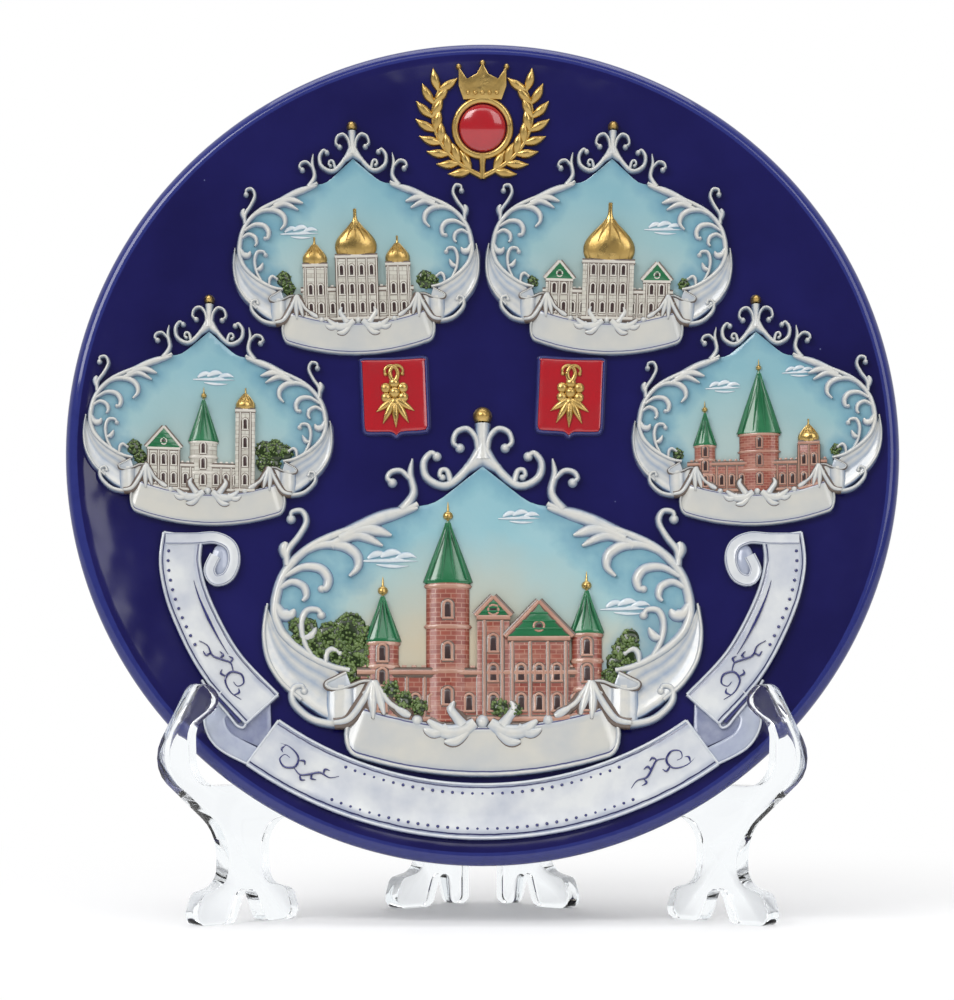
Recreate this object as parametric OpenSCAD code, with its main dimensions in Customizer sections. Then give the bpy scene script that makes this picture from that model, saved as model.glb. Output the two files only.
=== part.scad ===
// Souvenir relief plate of glazed ceramic, standing on a clear folding easel.
// The origin lies on the table under the middle of the whole object, +Z is up and the plate faces -Y.

/* [Plate] */
// Diameter of the plate over its lip
plate_d = 200; // [194:1:230]
// Radius of the dished face
dish_r = 420; // [380:10:520]
// Thickness of the ceramic body and its rounded lip
body_t = 5; // [4:0.5:6]
// Backward lean of the plate, in degrees
lean = 10.5; // [9:0.5:13]

/* [Foot ring] */
// Outer diameter of the foot ring on the back
ring_d = 116; // [106:1:124]
// Wall of the foot ring
ring_wall = 5; // [4:0.5:7]
// Height of the foot ring past the middle of the back
ring_h = 3.5; // [3:0.5:5]
// Diameter of the two hanging holes in the foot ring
hang_d = 3; // [2:0.5:3]
// Angle of each hanging hole from the top of the ring, in degrees
hang_a = 14; // [8:1:30]

/* [Relief heights] */
// Height of the painted sky fields
field_h = 1; // [0.6:0.1:1.5]
// Height of the scroll frames
frame_h = 2.4; // [1.8:0.1:3]
// Height of the name ribbons
ribbon_h = 2.8; // [2:0.1:3.4]
// Height of the lower banner
banner_h = 2; // [1.4:0.1:2.6]
// Height of the building fronts over the field
wall_h = 1.4; // [1:0.1:2]
// Height of the shields
shield_h = 1.4; // [1:0.1:2]
// Height of the gilded crest and charges
gilt_h = 1.2; // [0.8:0.1:1.8]

/* [Layout on the face] */
// Half width of the large scene
main_w = 52; // [46:1:54]
// Drop of the large scene below the plate's middle
main_drop = 47.6; // [45:0.2:50]
// Half width of the four small scenes
small_w = 29.4; // [26:0.2:30]
// Height of the small scenes' drawing for its width
small_tall = 1.1; // [1:0.02:1.14]
// Sideways place of the two upper scenes
upper_x = 30.4; // [30:0.2:34]
// Height of the two upper scenes over the plate's middle
upper_y = 43.8; // [43.2:0.2:47]
// Gap from the outer scenes to the start of the lip
edge_gap = 1.6; // [1:0.1:4]
// Height of the two outer scenes over the plate's middle
outer_y = 1.4; // [0:0.2:4]
// Width of each shield
shield_w = 15.6; // [13:0.2:17]
// Sideways place of the two shields
shield_x = 21.2; // [20:0.2:24]
// Height of the shields over the plate's middle
shield_y = 14.8; // [13:0.2:15]
// Lean of each shield toward the plate's middle
shield_lean = 2.5; // [0:0.5:5]
// Width of the gilded crest
crest_w = 29; // [25:0.5:31]
// Height of the crest's middle over the plate's middle
crest_y = 79.5; // [79:0.2:80.4]
// Width of the lower banner
banner_w = 13; // [11:0.2:13.4]
// Radius of the lower banner's middle line
banner_r = 91; // [88:0.5:93]

/* [Easel] */
// Thickness of each easel panel
panel_t = 4.5; // [3.5:0.1:5.5]
// Angle of each panel from straight ahead, in degrees
spread = 45; // [42:1:48]
// Reach of the seat's middle from the hinge
seat_u = 84; // [80:0.5:88]
// Height of the seat over the table
seat_v = 33; // [30:0.5:38]
// Height of the back rest over the table
rest_v = 127; // [110:1:140]
// Height of the hook over the seat
hook_h = 24.5; // [20:0.5:27]
// Thickness of the hook
hook_t = 10; // [8:0.5:11]
// Width of each leg at its neck
neck_w = 13; // [11:0.5:15]
// Height of the arch between the legs
arch_v = 25.5; // [22:0.5:27]
// Height of the cleft in each foot
cleft_h = 8.4; // [6:0.2:9]

/* [Hinge] */
// Radius of the hinge knuckles
knuckle_r = 3; // [2.6:0.1:3.6]
// Radius of the hinge pin
pin_r = 1.2; // [1:0.1:1.5]
// Length of each knuckle
knuckle_l = 12; // [8:1:16]

/* [Fits] */
// Gap between the plate and the easel
seat_gap = 0.35; // [0.3:0.05:0.6]
// Gap under a relief piece that is seated on another one
sit_gap = 0.02; // [0.01:0.01:0.1]
// Running clearance of the pin in the knuckles
pin_gap = 0.05; // [0.03:0.01:0.1]
// Gap between the two panels when folded, and between knuckles
fold_gap = 0.4; // [0.3:0.1:0.8]

/* [Hidden] */
$fn = 180;
plate_r = plate_d / 2;
lip_r = body_t / 2;
mid_r = dish_r + lip_r;
lip_angle = asin((plate_r - lip_r) / mid_r);
face_r = dish_r * sin(lip_angle);
lip_z = dish_r - mid_r * cos(lip_angle);
back_z = -(body_t + ring_h);
ring_r = ring_d / 2;
outer_x = sqrt(pow(face_r - edge_gap, 2) - pow(outer_y, 2)) - small_w;

// Easel places in the panel's plane: u runs forward from the hinge and v runs up from the table.
edge_u = knuckle_r + 1.2;
slot_u = seat_u + 11;
hook_u = slot_u + hook_t;
front_c = seat_u - 6.2;
rear_c = edge_u + 8.6;
seat_x = seat_u * sin(spread);
seat_drop = sqrt(pow(plate_r - lip_r, 2) - pow(seat_x, 2));
plate_off = -seat_u * cos(spread) + seat_drop * sin(lean) + lip_z * cos(lean);
plate_z = seat_v + seat_gap + sqrt(pow(plate_r, 2) - pow(seat_x, 2)) * cos(lean) - lip_z * sin(lean);
// Reach of the back rest's edge at height v, just behind the foot ring
function rest_u(v) = (fold_gap * sin(spread) - plate_off
    - ((v - plate_z) * sin(lean) - back_z + seat_gap) / cos(lean)) / cos(spread);

// Half section of the plate: face, rounded lip, back. The face's flats lie just outside the dish's circle.
face_step = lip_angle / 36;
PLATE = concat(
    [for (i = [0 : 36]) [0, dish_r] + dish_r / cos(face_step / 2) * [sin(face_step * i), -cos(face_step * i)]],
    [for (a = [80 : -20 : -80]) [plate_r - lip_r, lip_z] + lip_r * [cos(a + lip_angle), sin(a + lip_angle)]],
    [for (i = [24 : -1 : 0])
        [0, dish_r] + (dish_r + body_t) * [sin(lip_angle * i / 24), -cos(lip_angle * i / 24)]]);

// Half of a scene's outline, in units of its half width: from the top point round to the ribbon
HALF = [[0, 0.87], [0.1, 0.79], [0.22, 0.7], [0.34, 0.67], [0.55, 0.59], [0.78, 0.49], [0.91, 0.36],
        [0.96, 0.19], [0.97, 0], [0.93, -0.16], [0.82, -0.28], [0.66, -0.36]];
// Scrolls of a frame's right half: x, y, heading, length, turn, first and last width
SCROLLS = [[0.02, 0.98, 75, 0.34, -250, 0.035, 0.022], [0.05, 0.86, -62, 0.62, 330, 0.045, 0.03],
           [0.42, 0.62, 116, 0.26, -35, 0.06, 0.012], [0.39, 0.71, 50, 0.34, -280, 0.04, 0.024],
           [0.83, 0.45, 112, 0.36, -280, 0.05, 0.026], [0.6, 0.56, 168, 0.24, 40, 0.06, 0.012],
           [0.76, 0.48, 190, 0.28, 60, 0.06, 0.012], [0.89, 0.38, 215, 0.34, 210, 0.05, 0.026],
           [0.95, 0.2, 200, 0.26, 230, 0.045, 0.024], [0.92, -0.1, 140, 0.3, 200, 0.045, 0.024],
           [0.74, -0.3, 95, 0.32, 240, 0.05, 0.024]];
// Blocks of each scene: x, width, height, roof kind (0 flat, 1 gable, 2 cone, 3 gilded dome), height factor
MAIN = [[-0.02, 1.08, 0.24, 0, 0.7], [-0.16, 0.2, 0.66, 2, 1.2], [0.26, 0.28, 0.4, 1, 1],
        [0.48, 0.14, 0.42, 2, 1.3], [-0.46, 0.15, 0.38, 2, 1.1], [0.05, 0.15, 0.5, 1, 0.9]];
VILLA = [[0, 0.9, 0.24, 0, 0.8], [0, 0.34, 0.48, 3, 1.2], [-0.34, 0.2, 0.42, 3, 1], [0.34, 0.2, 0.42, 3, 1]];
ROTUNDA = [[0, 1.04, 0.22, 0, 0.8], [0, 0.42, 0.44, 3, 1.3], [-0.4, 0.22, 0.3, 1, 1], [0.4, 0.22, 0.3, 1, 1]];
HARBOUR = [[-0.1, 0.8, 0.2, 0, 0.8], [0.3, 0.16, 0.62, 3, 1.2], [-0.36, 0.26, 0.32, 1, 1], [-0.04, 0.22, 0.38, 2, 1.1]];
GATE = [[0, 1.1, 0.22, 0, 0.8], [0.02, 0.32, 0.44, 2, 1.3], [-0.42, 0.17, 0.36, 2, 1.1], [0.42, 0.17, 0.36, 3, 1.1]];
// Hollow shell in each lower corner of a frame: its inner edge up to the tip, then its outer edge back
SHELL = [[0.6, -0.2], [0.7, -0.07], [0.8, -0.02], [0.88, 0.03], [0.95, 0.11], [1, 0.2],
         [1.01, 0.08], [0.99, -0.05], [0.93, -0.16], [0.84, -0.24], [0.74, -0.31], [0.62, -0.36]];
// Rolled end of a ribbon
ROLL = [[0.5, -0.14], [0.61, -0.06], [0.78, -0.06], [0.79, -0.29], [0.64, -0.38], [0.52, -0.36]];
GROUND = -0.34;
// Trees: x, y and radius of each round of leaves
MAIN_TREES = [[-0.66, -0.06, 0.09], [-0.58, -0.12, 0.07], [0.66, -0.04, 0.1], [0.58, -0.12, 0.06]];
SIDE_TREES = [[-0.58, -0.06, 0.1], [0.56, -0.08, 0.09]];
// Half of a dome's outline, in units of its width
DOME = [[0.42, 0], [0.5, 0.16], [0.48, 0.34], [0.34, 0.52], [0.14, 0.7], [0.05, 0.84], [0.04, 1.05]];
// Half of a shield's outline, in units of its width
SHIELD = [[0, 0.57], [0.25, 0.575], [0.44, 0.58], [0.49, 0.565], [0.5, 0.52], [0.5, 0], [0.5, -0.46],
          [0.485, -0.54], [0.43, -0.575], [0.12, -0.585], [0.05, -0.605], [0, -0.65]];
// Half of the crest's coronet, in units of the crest's width
CORONET = [[0, 0.53], [0.05, 0.44], [0.13, 0.4], [0.2, 0.5], [0.2, 0.34], [0.16, 0.23], [0, 0.24]];
// Radius of the crest's stone and the line of one laurel branch, in the same units
STONE = 0.2;

// Lower banner: height of its circle's middle, and the lines of one tail, its rolled end and one fold
banner_y = banner_r + banner_w / 2 - face_r + 3.3;
TAIL = [[52.5, -62.5], [62.4, -51.6], [69.5, -38.2], [72.3, -28], [71.8, -20.4]];
CURLED = [[69, -21.2], [64, -20.8], [60.4, -22.6], [59.5, -26.4], [61, -30.2], [64, -31.2], [65.4, -28.7], [64, -25.2]];
FOLD = [[60, -60], [63.6, -64.5], [61.5, -70], [54.5, -74]];

// Heights of the lower end of each knuckle
right_knuckles = [rest_v * 0.3, rest_v * 0.68];
left_knuckles = [for (v = right_knuckles) v + knuckle_l + fold_gap];
pin_top = left_knuckles[1] + knuckle_l + fold_gap / 2;

// Places of the scenes on the face: x, y, turn and stretch
UPPER_LEFT = [-upper_x, upper_y, 2, small_tall];
UPPER_RIGHT = [upper_x, upper_y, -2, small_tall];
OUTER_LEFT = [-outer_x, outer_y, 0, small_tall];
OUTER_RIGHT = [outer_x, outer_y, 0, small_tall];
MIDDLE = [0, -main_drop, 0, 1];

// Smooth curve through the points p, with n steps from each to the next
function smooth(p, n = 3) = let (last = len(p) - 1) concat(
    [for (i = [0 : last - 1], k = [0 : n - 1])
        let (t = k / n, a = p[max(i - 1, 0)], b = p[i], c = p[i + 1], d = p[min(i + 2, last)])
        0.5 * (2 * b + (c - a) * t + (2 * a - 5 * b + 4 * c - d) * t * t + (3 * b - a - 3 * c + d) * t * t * t)],
    [p[last]]);
function unit(v) = v / norm(v);
function side(p, i) = let (d = unit(p[min(i + 1, len(p) - 1)] - p[max(i - 1, 0)])) [-d[1], d[0]];
// Band of changing width along the line p
function band(p, w0, w1) = let (last = len(p) - 1) concat(
    [for (i = [0 : last]) p[i] + side(p, i) * (w0 + (w1 - w0) * i / last) / 2],
    [for (i = [last : -1 : 0]) p[i] - side(p, i) * (w0 + (w1 - w0) * i / last) / 2]);
// Line of a scroll that turns tighter toward its end
function curl(x, y, heading, length, turn, n = 10) =
    let (step = length / n, a = [for (i = [0 : n]) heading + turn * pow((i + 0.5) / n, 1.5)])
    [for (i = 0, q = [x, y]; i <= n; q = q + step * [cos(a[i]), sin(a[i])], i = i + 1) q];
// Band between two circles round c, from angle a0 to a1
function arc_band(c, r0, r1, a0, a1, n = 16) = concat(
    [for (i = [0 : n]) c + r1 * [cos(a0 + (a1 - a0) * i / n), sin(a0 + (a1 - a0) * i / n)]],
    [for (i = [n : -1 : 0]) c + r0 * [cos(a0 + (a1 - a0) * i / n), sin(a0 + (a1 - a0) * i / n)]]);
// Outline with a round of radius v[2] at each corner v
function rounded(v, n = 5) = [for (i = [0 : len(v) - 1])
    let (b = [v[i][0], v[i][1]], pa = v[(i + len(v) - 1) % len(v)], pc = v[(i + 1) % len(v)],
         a = [pa[0], pa[1]] - b, c = [pc[0], pc[1]] - b, half = acos(unit(a) * unit(c)) / 2,
         t = min(v[i][2] / tan(half), 0.48 * norm(a), 0.48 * norm(c)), r = t * tan(half),
         m = b + unit(unit(a) + unit(c)) * r / sin(half), s = b + unit(a) * t - m, e = b + unit(c) * t - m,
         a0 = atan2(s[1], s[0]), da = atan2(e[1], e[0]) - a0, turn = da > 180 ? da - 360 : da < -180 ? da + 360 : da)
    for (k = [0 : n]) m + r * [cos(a0 + turn * k / n), sin(a0 + turn * k / n)]];
// Points of a scene's drawing, made taller by the stretch of its place
function tall(p) = [for (q = p) [q[0], q[1] * $tall]];
function mirrored(p) = [for (i = [len(p) - 1 : -1 : 0]) [-p[i][0], p[i][1]]];

// Outline of a panel: rear foot, arch, front foot, hook, seat, back rest.
PANEL = rounded([
    [edge_u, 0, 2.2], [rear_c - 3.9, 0, 2.4], [rear_c, cleft_h * 1.45, 2.4], [rear_c + 4.1, 0, 2.6],
    [rear_c + 17.2, 0, 3], [rear_c + 14.6, 7.4, 2.6], [rear_c + neck_w / 2, 9, 4],
    [rear_c + neck_w / 2 + 0.6, arch_v, 15],
    [front_c - 5.4, arch_v - 1, 9], [front_c - neck_w / 2, 9.4, 4.5], [front_c - 14, 7.4, 2.6],
    [front_c - 16.8, 0, 3], [front_c - 5, 0, 2.6], [front_c, cleft_h * 1.45, 2.6], [front_c + 5, 0, 2.6],
    [front_c + 18.3, 0, 3.2], [front_c + 15.2, 7.6, 2.6], [front_c + neck_w / 2 + 0.6, 9.4, 6],
    [front_c + neck_w / 2 + 0.6, 21.5, 14],
    [hook_u + 1.6, seat_v + 5.5, 8], [slot_u - 2.2, seat_v + hook_h + 1.6, 3.6],
    [slot_u - 9.2, seat_v + hook_h - 4.4, 3], [slot_u + 0.4, seat_v + 14.5, 4.5], [slot_u, seat_v, 8.5],
    [rest_u(seat_v), seat_v, 9], [rest_u(rest_v), rest_v, 6], [edge_u, rest_v, 5]]);

// Place of the hinge that brings the middle of the whole object over the origin
reach = max([for (p = PANEL) p[0]]) * cos(spread) - fold_gap * sin(spread);
hinge_back = max(knuckle_r, (fold_gap + panel_t) * sin(spread) - edge_u * cos(spread));
hinge_y = (reach - hinge_back) / 2;
plate_y = hinge_y + plate_off;

BRANCH = curl(0, -0.4, 25, 0.9, 95, 8);

// Moves the plate's own frame, with its face's middle at the origin and +Z out of the face, to its seat.
module on_plate() {
    translate([0, plate_y, plate_z]) rotate([90 - lean, 0, 0]) children();
}

// Ball of the dish, smaller by h, with its poles turned away from the face.
module dish_ball(h = 0) {
    translate([0, 0, dish_r]) rotate([90, 0, 0]) sphere(r = dish_r - h, $fn = 360);
}

// Relief that follows the face, from height h0 to height h1 over it.
module relief(h0, h1) {
    difference() {
        intersection() {
            translate([0, 0, -1]) linear_extrude(height = lip_z + 12) children();
            dish_ball(h0);
        }
        dish_ball(h1);
    }
}

// Places a flat design, drawn in units of its half width w, on the face. The place holds x, y, turn and stretch.
module at(place, w) {
    $tall = place[3];
    translate([place[0], place[1]]) rotate(place[2]) scale(w) children();
}

module halves() {
    children();
    mirror([1, 0]) children();
}

module plate_body() color("midnightblue") on_plate() rotate_extrude() polygon(PLATE);

// Part of the foot ring between the angles a0 and a1 from its top, with the two hanging holes.
module ring_arc(a0, a1) difference() {
    intersection() {
        translate([0, 0, back_z]) difference() {
            cylinder(h = -back_z, r = ring_r);
            translate([0, 0, -1]) cylinder(h = 2 - back_z, r = ring_r - ring_wall);
        }
        translate([0, 0, back_z - 1]) linear_extrude(height = 2 - back_z)
            polygon(concat([[0, 0]], [for (i = [0 : 8]) let (a = a0 + (a1 - a0) * i / 8) ring_d * [sin(a), cos(a)]]));
    }
    dish_ball(-body_t);
    for (a = [-hang_a, hang_a]) rotate(-a) translate([0, ring_r - ring_wall / 2, back_z + 0.8 + hang_d / 2])
        rotate([90, 0, 0]) cylinder(h = 3 * ring_wall, d = hang_d, center = true);
}

module foot_ring() color("linen") on_plate() ring_arc(2 * hang_a, 360 - 2 * hang_a);
module left_hang_arc() color("linen") on_plate() ring_arc(-2 * hang_a, 0);
module right_hang_arc() color("linen") on_plate() ring_arc(0, 2 * hang_a);

// Flat designs of a scene, in units of its half width.
module field_flat() polygon(tall(concat(smooth(HALF), [[0, -0.4]], mirrored(smooth(HALF)))));

module ribbon_flat() polygon(tall(arc_band([0, 1.36], 1.73, 1.935, -108, -72)));

module rolls_flat() halves() polygon(tall(ROLL));

module frame_flat() difference() {
    union() {
        halves() {
            polygon(tall(band(smooth(HALF), 0.045, 0.06)));
            polygon(tall(SHELL));
            for (s = SCROLLS) {
                line = curl(s[0], s[1], s[2], s[3], s[4]);
                polygon(tall(band(line, s[5], s[6])));
                translate(tall(line)[len(line) - 1]) circle(r = s[6], $fn = 24);
            }
        }
        polygon(tall(band([[0, 0.8], [0, 1.06]], 0.07, 0.1)));
    }
    ribbon_flat();
    rolls_flat();
}

// Solid pieces of a scene.
module field(place, w) color("lightblue") on_plate() relief(0, field_h) at(place, w) difference() {
    field_flat();
    frame_flat();
    ribbon_flat();
    rolls_flat();
}

module frame(place, w) color("ivory") on_plate() relief(0, frame_h) at(place, w) frame_flat();

module ribbon(place, w) color("white") on_plate() {
    relief(0, ribbon_h) at(place, w) ribbon_flat();
    relief(0, frame_h) at(place, w) difference() {
        rolls_flat();
        ribbon_flat();
    }
}

// Arched windows of one block, in rows.
module windows_flat(b) {
    across = floor(b[1] / 0.075);
    rows = floor((b[2] - 0.05) / 0.13);
    for (i = [0 : across - 1], j = [0 : rows - 1])
        translate([b[0] + (i - (across - 1) / 2) * 0.075, (GROUND + 0.06 + j * 0.13) * $tall]) {
            translate([-0.014, 0]) square([0.028, 0.055]);
            translate([0, 0.055]) circle(r = 0.014, $fn = 16);
        }
}

module wall_flat(b) translate([b[0] - b[1] / 2, GROUND * $tall]) square([b[1], b[2] * $tall]);

function rise(b) = b[1] * (b[3] == 1 ? 0.6 : 1.5);

module roof_flat(b) {
    top = GROUND + b[2];
    polygon(tall([[b[0] - b[1] * 0.56, top], [b[0] + b[1] * 0.56, top], [b[0], top + rise(b)]]));
}

module building(place, w, blocks, tint) color(tint) on_plate() for (b = blocks)
    relief(field_h + sit_gap, field_h + wall_h * b[4]) at(place, w) difference() {
        wall_flat(b);
        windows_flat(b);
        ribbon_flat();
        rolls_flat();
    }

module roofs(place, w, blocks) color("darkgreen") on_plate()
    relief(field_h + sit_gap, field_h + wall_h * 1.1) at(place, w) difference() {
        for (b = blocks) if (b[3] == 1 || b[3] == 2) roof_flat(b);
        for (b = blocks) wall_flat(b);
    }

module dome_flat(b) translate([b[0], (GROUND + b[2]) * $tall]) scale(b[1])
    polygon(tall(concat(smooth(DOME, 2), mirrored(smooth(DOME, 2)))));

// Gilded domes, balls on the cone roofs and the ball on the frame's stem.
module gilding(place, w, blocks) color("goldenrod") on_plate() {
    relief(field_h + sit_gap, field_h + wall_h * 1.3) at(place, w) {
        for (b = blocks) if (b[3] == 3) dome_flat(b);
        for (b = blocks) if (b[3] == 2) translate([b[0], (GROUND + b[2] + rise(b)) * $tall + 0.022])
            circle(r = 0.022, $fn = 24);
    }
    relief(0, frame_h + 0.6) at(place, w) translate([0, 1.06 * $tall + 0.045]) circle(r = 0.045, $fn = 32);
}

module trees(place, w, rounds, blocks) color("olivedrab") on_plate()
    relief(field_h + sit_gap, field_h + wall_h) at(place, w) difference() {
        for (t = rounds) translate([t[0], t[1] * $tall]) circle(r = t[2], $fn = 32);
        for (b = blocks) wall_flat(b);
        for (b = blocks) if (b[3] > 0) roof_flat(b);
        for (b = blocks) if (b[3] == 3) dome_flat(b);
        frame_flat();
        ribbon_flat();
        rolls_flat();
    }

module shield_flat() scale(shield_w) polygon(concat(smooth(SHIELD), mirrored(smooth(SHIELD))));

module on_shield(x) translate([x, shield_y]) rotate(-sign(x) * shield_lean) children();

module shield(x) color("crimson") on_plate() relief(0, shield_h) on_shield(x) shield_flat();

// Gilded rosette with three leaves under it.
module charge(x) color("gold") on_plate() relief(shield_h + sit_gap, shield_h + gilt_h) on_shield(x) scale(shield_w) {
    for (a = [0 : 60 : 300]) rotate(a) translate([0, 0.13]) circle(r = 0.075, $fn = 24);
    circle(r = 0.1, $fn = 24);
    for (a = [-40, 0, 40]) rotate(a) polygon(band([[0, 0], [0, -0.25], [0, -0.42]], 0.05, 0.13));
}

// Two laurel branches round a ringed stone, under a coronet.
module crest_flat() scale(crest_w) {
    polygon(concat(CORONET, mirrored(CORONET)));
    polygon(arc_band([0, 0], STONE, STONE + 0.06, -269, 89, 32));
    polygon(band([[0, -STONE - 0.02], [0, -0.42]], 0.07, 0.05));
    halves() {
        polygon(band(BRANCH, 0.05, 0.03));
        for (i = [1 : len(BRANCH) - 1], turn = [-45, 45]) let (d = unit(BRANCH[i] - BRANCH[i - 1]))
            translate(BRANCH[i]) rotate(atan2(d[1], d[0]) + turn)
            polygon([[-0.02, 0], [0.04, -0.03], [0.1, -0.025], [0.16, 0], [0.1, 0.025], [0.04, 0.03]]);
    }
}

module crest() color("gold") on_plate() relief(0, gilt_h) translate([0, crest_y]) crest_flat();

module crest_stone() color("crimson") on_plate() relief(0, 1.6 * gilt_h) translate([0, crest_y])
    circle(r = (STONE - 0.004) * crest_w, $fn = 48);

module banner_middle_flat() polygon(arc_band([0, banner_y], banner_r - banner_w / 2, banner_r + banner_w / 2, -125, -55));

module tails_flat() halves() {
    polygon(band(smooth(TAIL), banner_w * 0.8, banner_w * 0.7));
    polygon(band(smooth(CURLED), banner_w * 0.2, banner_w * 0.18));
}

module banner_middle() color("white") on_plate() relief(0, banner_h) banner_middle_flat();

module banner_tails() color("white") on_plate() relief(0, banner_h) difference() {
    tails_flat();
    banner_middle_flat();
    at(MIDDLE, main_w) frame_flat();
}

module banner_folds() color("lightsteelblue") on_plate() relief(0, banner_h * 0.6) difference() {
    halves() polygon(band(smooth(FOLD), banner_w * 0.4, banner_w * 0.36));
    banner_middle_flat();
    tails_flat();
}

module knuckle(v) difference() {
    union() {
        translate([0, 0, v]) cylinder(h = knuckle_l, r = knuckle_r, $fn = 48);
        translate([0, fold_gap, v]) cube([edge_u + 2, knuckle_r - fold_gap, knuckle_l]);
    }
    translate([0, 0, v - 1]) cylinder(h = knuckle_l + 2, r = pin_r + pin_gap, $fn = 48);
}

module panel(lows) translate([0, hinge_y, 0]) rotate(spread - 90) {
    rotate([90, 0, 0]) translate([0, 0, -fold_gap - panel_t]) linear_extrude(height = panel_t) polygon(PANEL);
    for (v = lows) knuckle(v);
}

module right_panel() color("whitesmoke", 0.5) panel(right_knuckles);
module left_panel() color("whitesmoke", 0.5) mirror([1, 0, 0]) panel(left_knuckles);

module hinge_pin() color("gainsboro") translate([0, hinge_y, 0]) {
    translate([0, 0, right_knuckles[0] - 1]) cylinder(h = pin_top - right_knuckles[0] + 1, r = pin_r, $fn = 48);
    translate([0, 0, pin_top]) cylinder(h = 1.2, r = pin_r * 1.9, $fn = 48);
}

plate_body();
foot_ring();
left_hang_arc();
right_hang_arc();
field(MIDDLE, main_w);  // main_field
frame(MIDDLE, main_w);  // main_frame
ribbon(MIDDLE, main_w);  // main_ribbon
building(MIDDLE, main_w, MAIN, "firebrick");  // main_building
roofs(MIDDLE, main_w, MAIN);  // main_roofs
gilding(MIDDLE, main_w, MAIN);  // main_gilding
trees(MIDDLE, main_w, MAIN_TREES, MAIN);  // main_trees
field(UPPER_LEFT, small_w);  // villa_field
frame(UPPER_LEFT, small_w);  // villa_frame
ribbon(UPPER_LEFT, small_w);  // villa_ribbon
building(UPPER_LEFT, small_w, VILLA, "white");  // villa_building
gilding(UPPER_LEFT, small_w, VILLA);  // villa_gilding
trees(UPPER_LEFT, small_w, SIDE_TREES, VILLA);  // villa_trees
field(UPPER_RIGHT, small_w);  // rotunda_field
frame(UPPER_RIGHT, small_w);  // rotunda_frame
ribbon(UPPER_RIGHT, small_w);  // rotunda_ribbon
building(UPPER_RIGHT, small_w, ROTUNDA, "white");  // rotunda_building
roofs(UPPER_RIGHT, small_w, ROTUNDA);  // rotunda_roofs
gilding(UPPER_RIGHT, small_w, ROTUNDA);  // rotunda_gilding
field(OUTER_LEFT, small_w);  // harbour_field
frame(OUTER_LEFT, small_w);  // harbour_frame
ribbon(OUTER_LEFT, small_w);  // harbour_ribbon
building(OUTER_LEFT, small_w, HARBOUR, "white");  // harbour_building
roofs(OUTER_LEFT, small_w, HARBOUR);  // harbour_roofs
gilding(OUTER_LEFT, small_w, HARBOUR);  // harbour_gilding
trees(OUTER_LEFT, small_w, SIDE_TREES, HARBOUR);  // harbour_trees
field(OUTER_RIGHT, small_w);  // gate_field
frame(OUTER_RIGHT, small_w);  // gate_frame
ribbon(OUTER_RIGHT, small_w);  // gate_ribbon
building(OUTER_RIGHT, small_w, GATE, "firebrick");  // gate_building
roofs(OUTER_RIGHT, small_w, GATE);  // gate_roofs
gilding(OUTER_RIGHT, small_w, GATE);  // gate_gilding
shield(-shield_x);  // left_shield
shield(shield_x);  // right_shield
charge(-shield_x);  // left_charge
charge(shield_x);  // right_charge
crest();
crest_stone();
banner_middle();
banner_folds();
banner_tails();
left_panel();
right_panel();
hinge_pin();
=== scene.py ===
# %% [markdown]
# A relief souvenir plate of glazed ceramic stands in a clear folding easel. The plate is one cast and
# painted body, so most of the work is relief: thin forms that follow a dished face. Every form is drawn
# flat, in millimetres over the face, and one function lays it on the dish and leans it back.

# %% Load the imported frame
import math
import bmesh
import bpy
import numpy as np
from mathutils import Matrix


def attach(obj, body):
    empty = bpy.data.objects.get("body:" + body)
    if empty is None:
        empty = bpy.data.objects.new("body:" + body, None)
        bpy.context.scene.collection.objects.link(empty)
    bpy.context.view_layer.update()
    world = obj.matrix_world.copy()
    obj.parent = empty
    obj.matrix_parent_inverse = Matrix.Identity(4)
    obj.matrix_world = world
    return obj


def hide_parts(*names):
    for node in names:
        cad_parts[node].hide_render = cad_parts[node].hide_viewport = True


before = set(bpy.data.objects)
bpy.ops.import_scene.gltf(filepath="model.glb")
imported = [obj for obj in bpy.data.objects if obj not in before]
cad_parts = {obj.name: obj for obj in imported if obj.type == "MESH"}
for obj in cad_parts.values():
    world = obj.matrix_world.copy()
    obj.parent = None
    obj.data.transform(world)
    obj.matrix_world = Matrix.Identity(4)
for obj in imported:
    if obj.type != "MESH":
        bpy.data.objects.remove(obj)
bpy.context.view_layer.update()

# %% [markdown]
# The camera comes first, because everything is compared through it. The photograph is taken with a long
# lens from a little above the table, so the plate's ellipse is almost a circle. The lens is worked out
# from the photograph's 954 by 1000 frame, and the camera is only tipped and turned, with no shift.

# %% Camera
FRAME_TALL, LENS_PIXELS, SENSOR_TALL = 1000.0, 5834.0, 36.0
TIPPED, PANNED = 1.12, 0.054
eye = bpy.data.objects.new("Eye", bpy.data.cameras.new("Eye"))
eye.data.sensor_fit = "VERTICAL"
eye.data.sensor_height = SENSOR_TALL
eye.data.lens = SENSOR_TALL * LENS_PIXELS / FRAME_TALL
eye.data.clip_end = 50.0
eye.location = (0.0, -1.410, 0.128)
eye.rotation_euler = (math.radians(90.0 - TIPPED), 0.0, math.radians(PANNED))
bpy.context.collection.objects.link(eye)
bpy.context.scene.camera = eye
bpy.context.scene.view_settings.view_transform = "Standard"
print("lens", round(eye.data.lens, 1), "mm")

# %% [markdown]
# A ceramic glaze is shown by what it mirrors, so the light is a few large soft panels. A sun or a small
# lamp would give one hard spot instead. Each panel is given by where it stands and what it faces.

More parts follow.
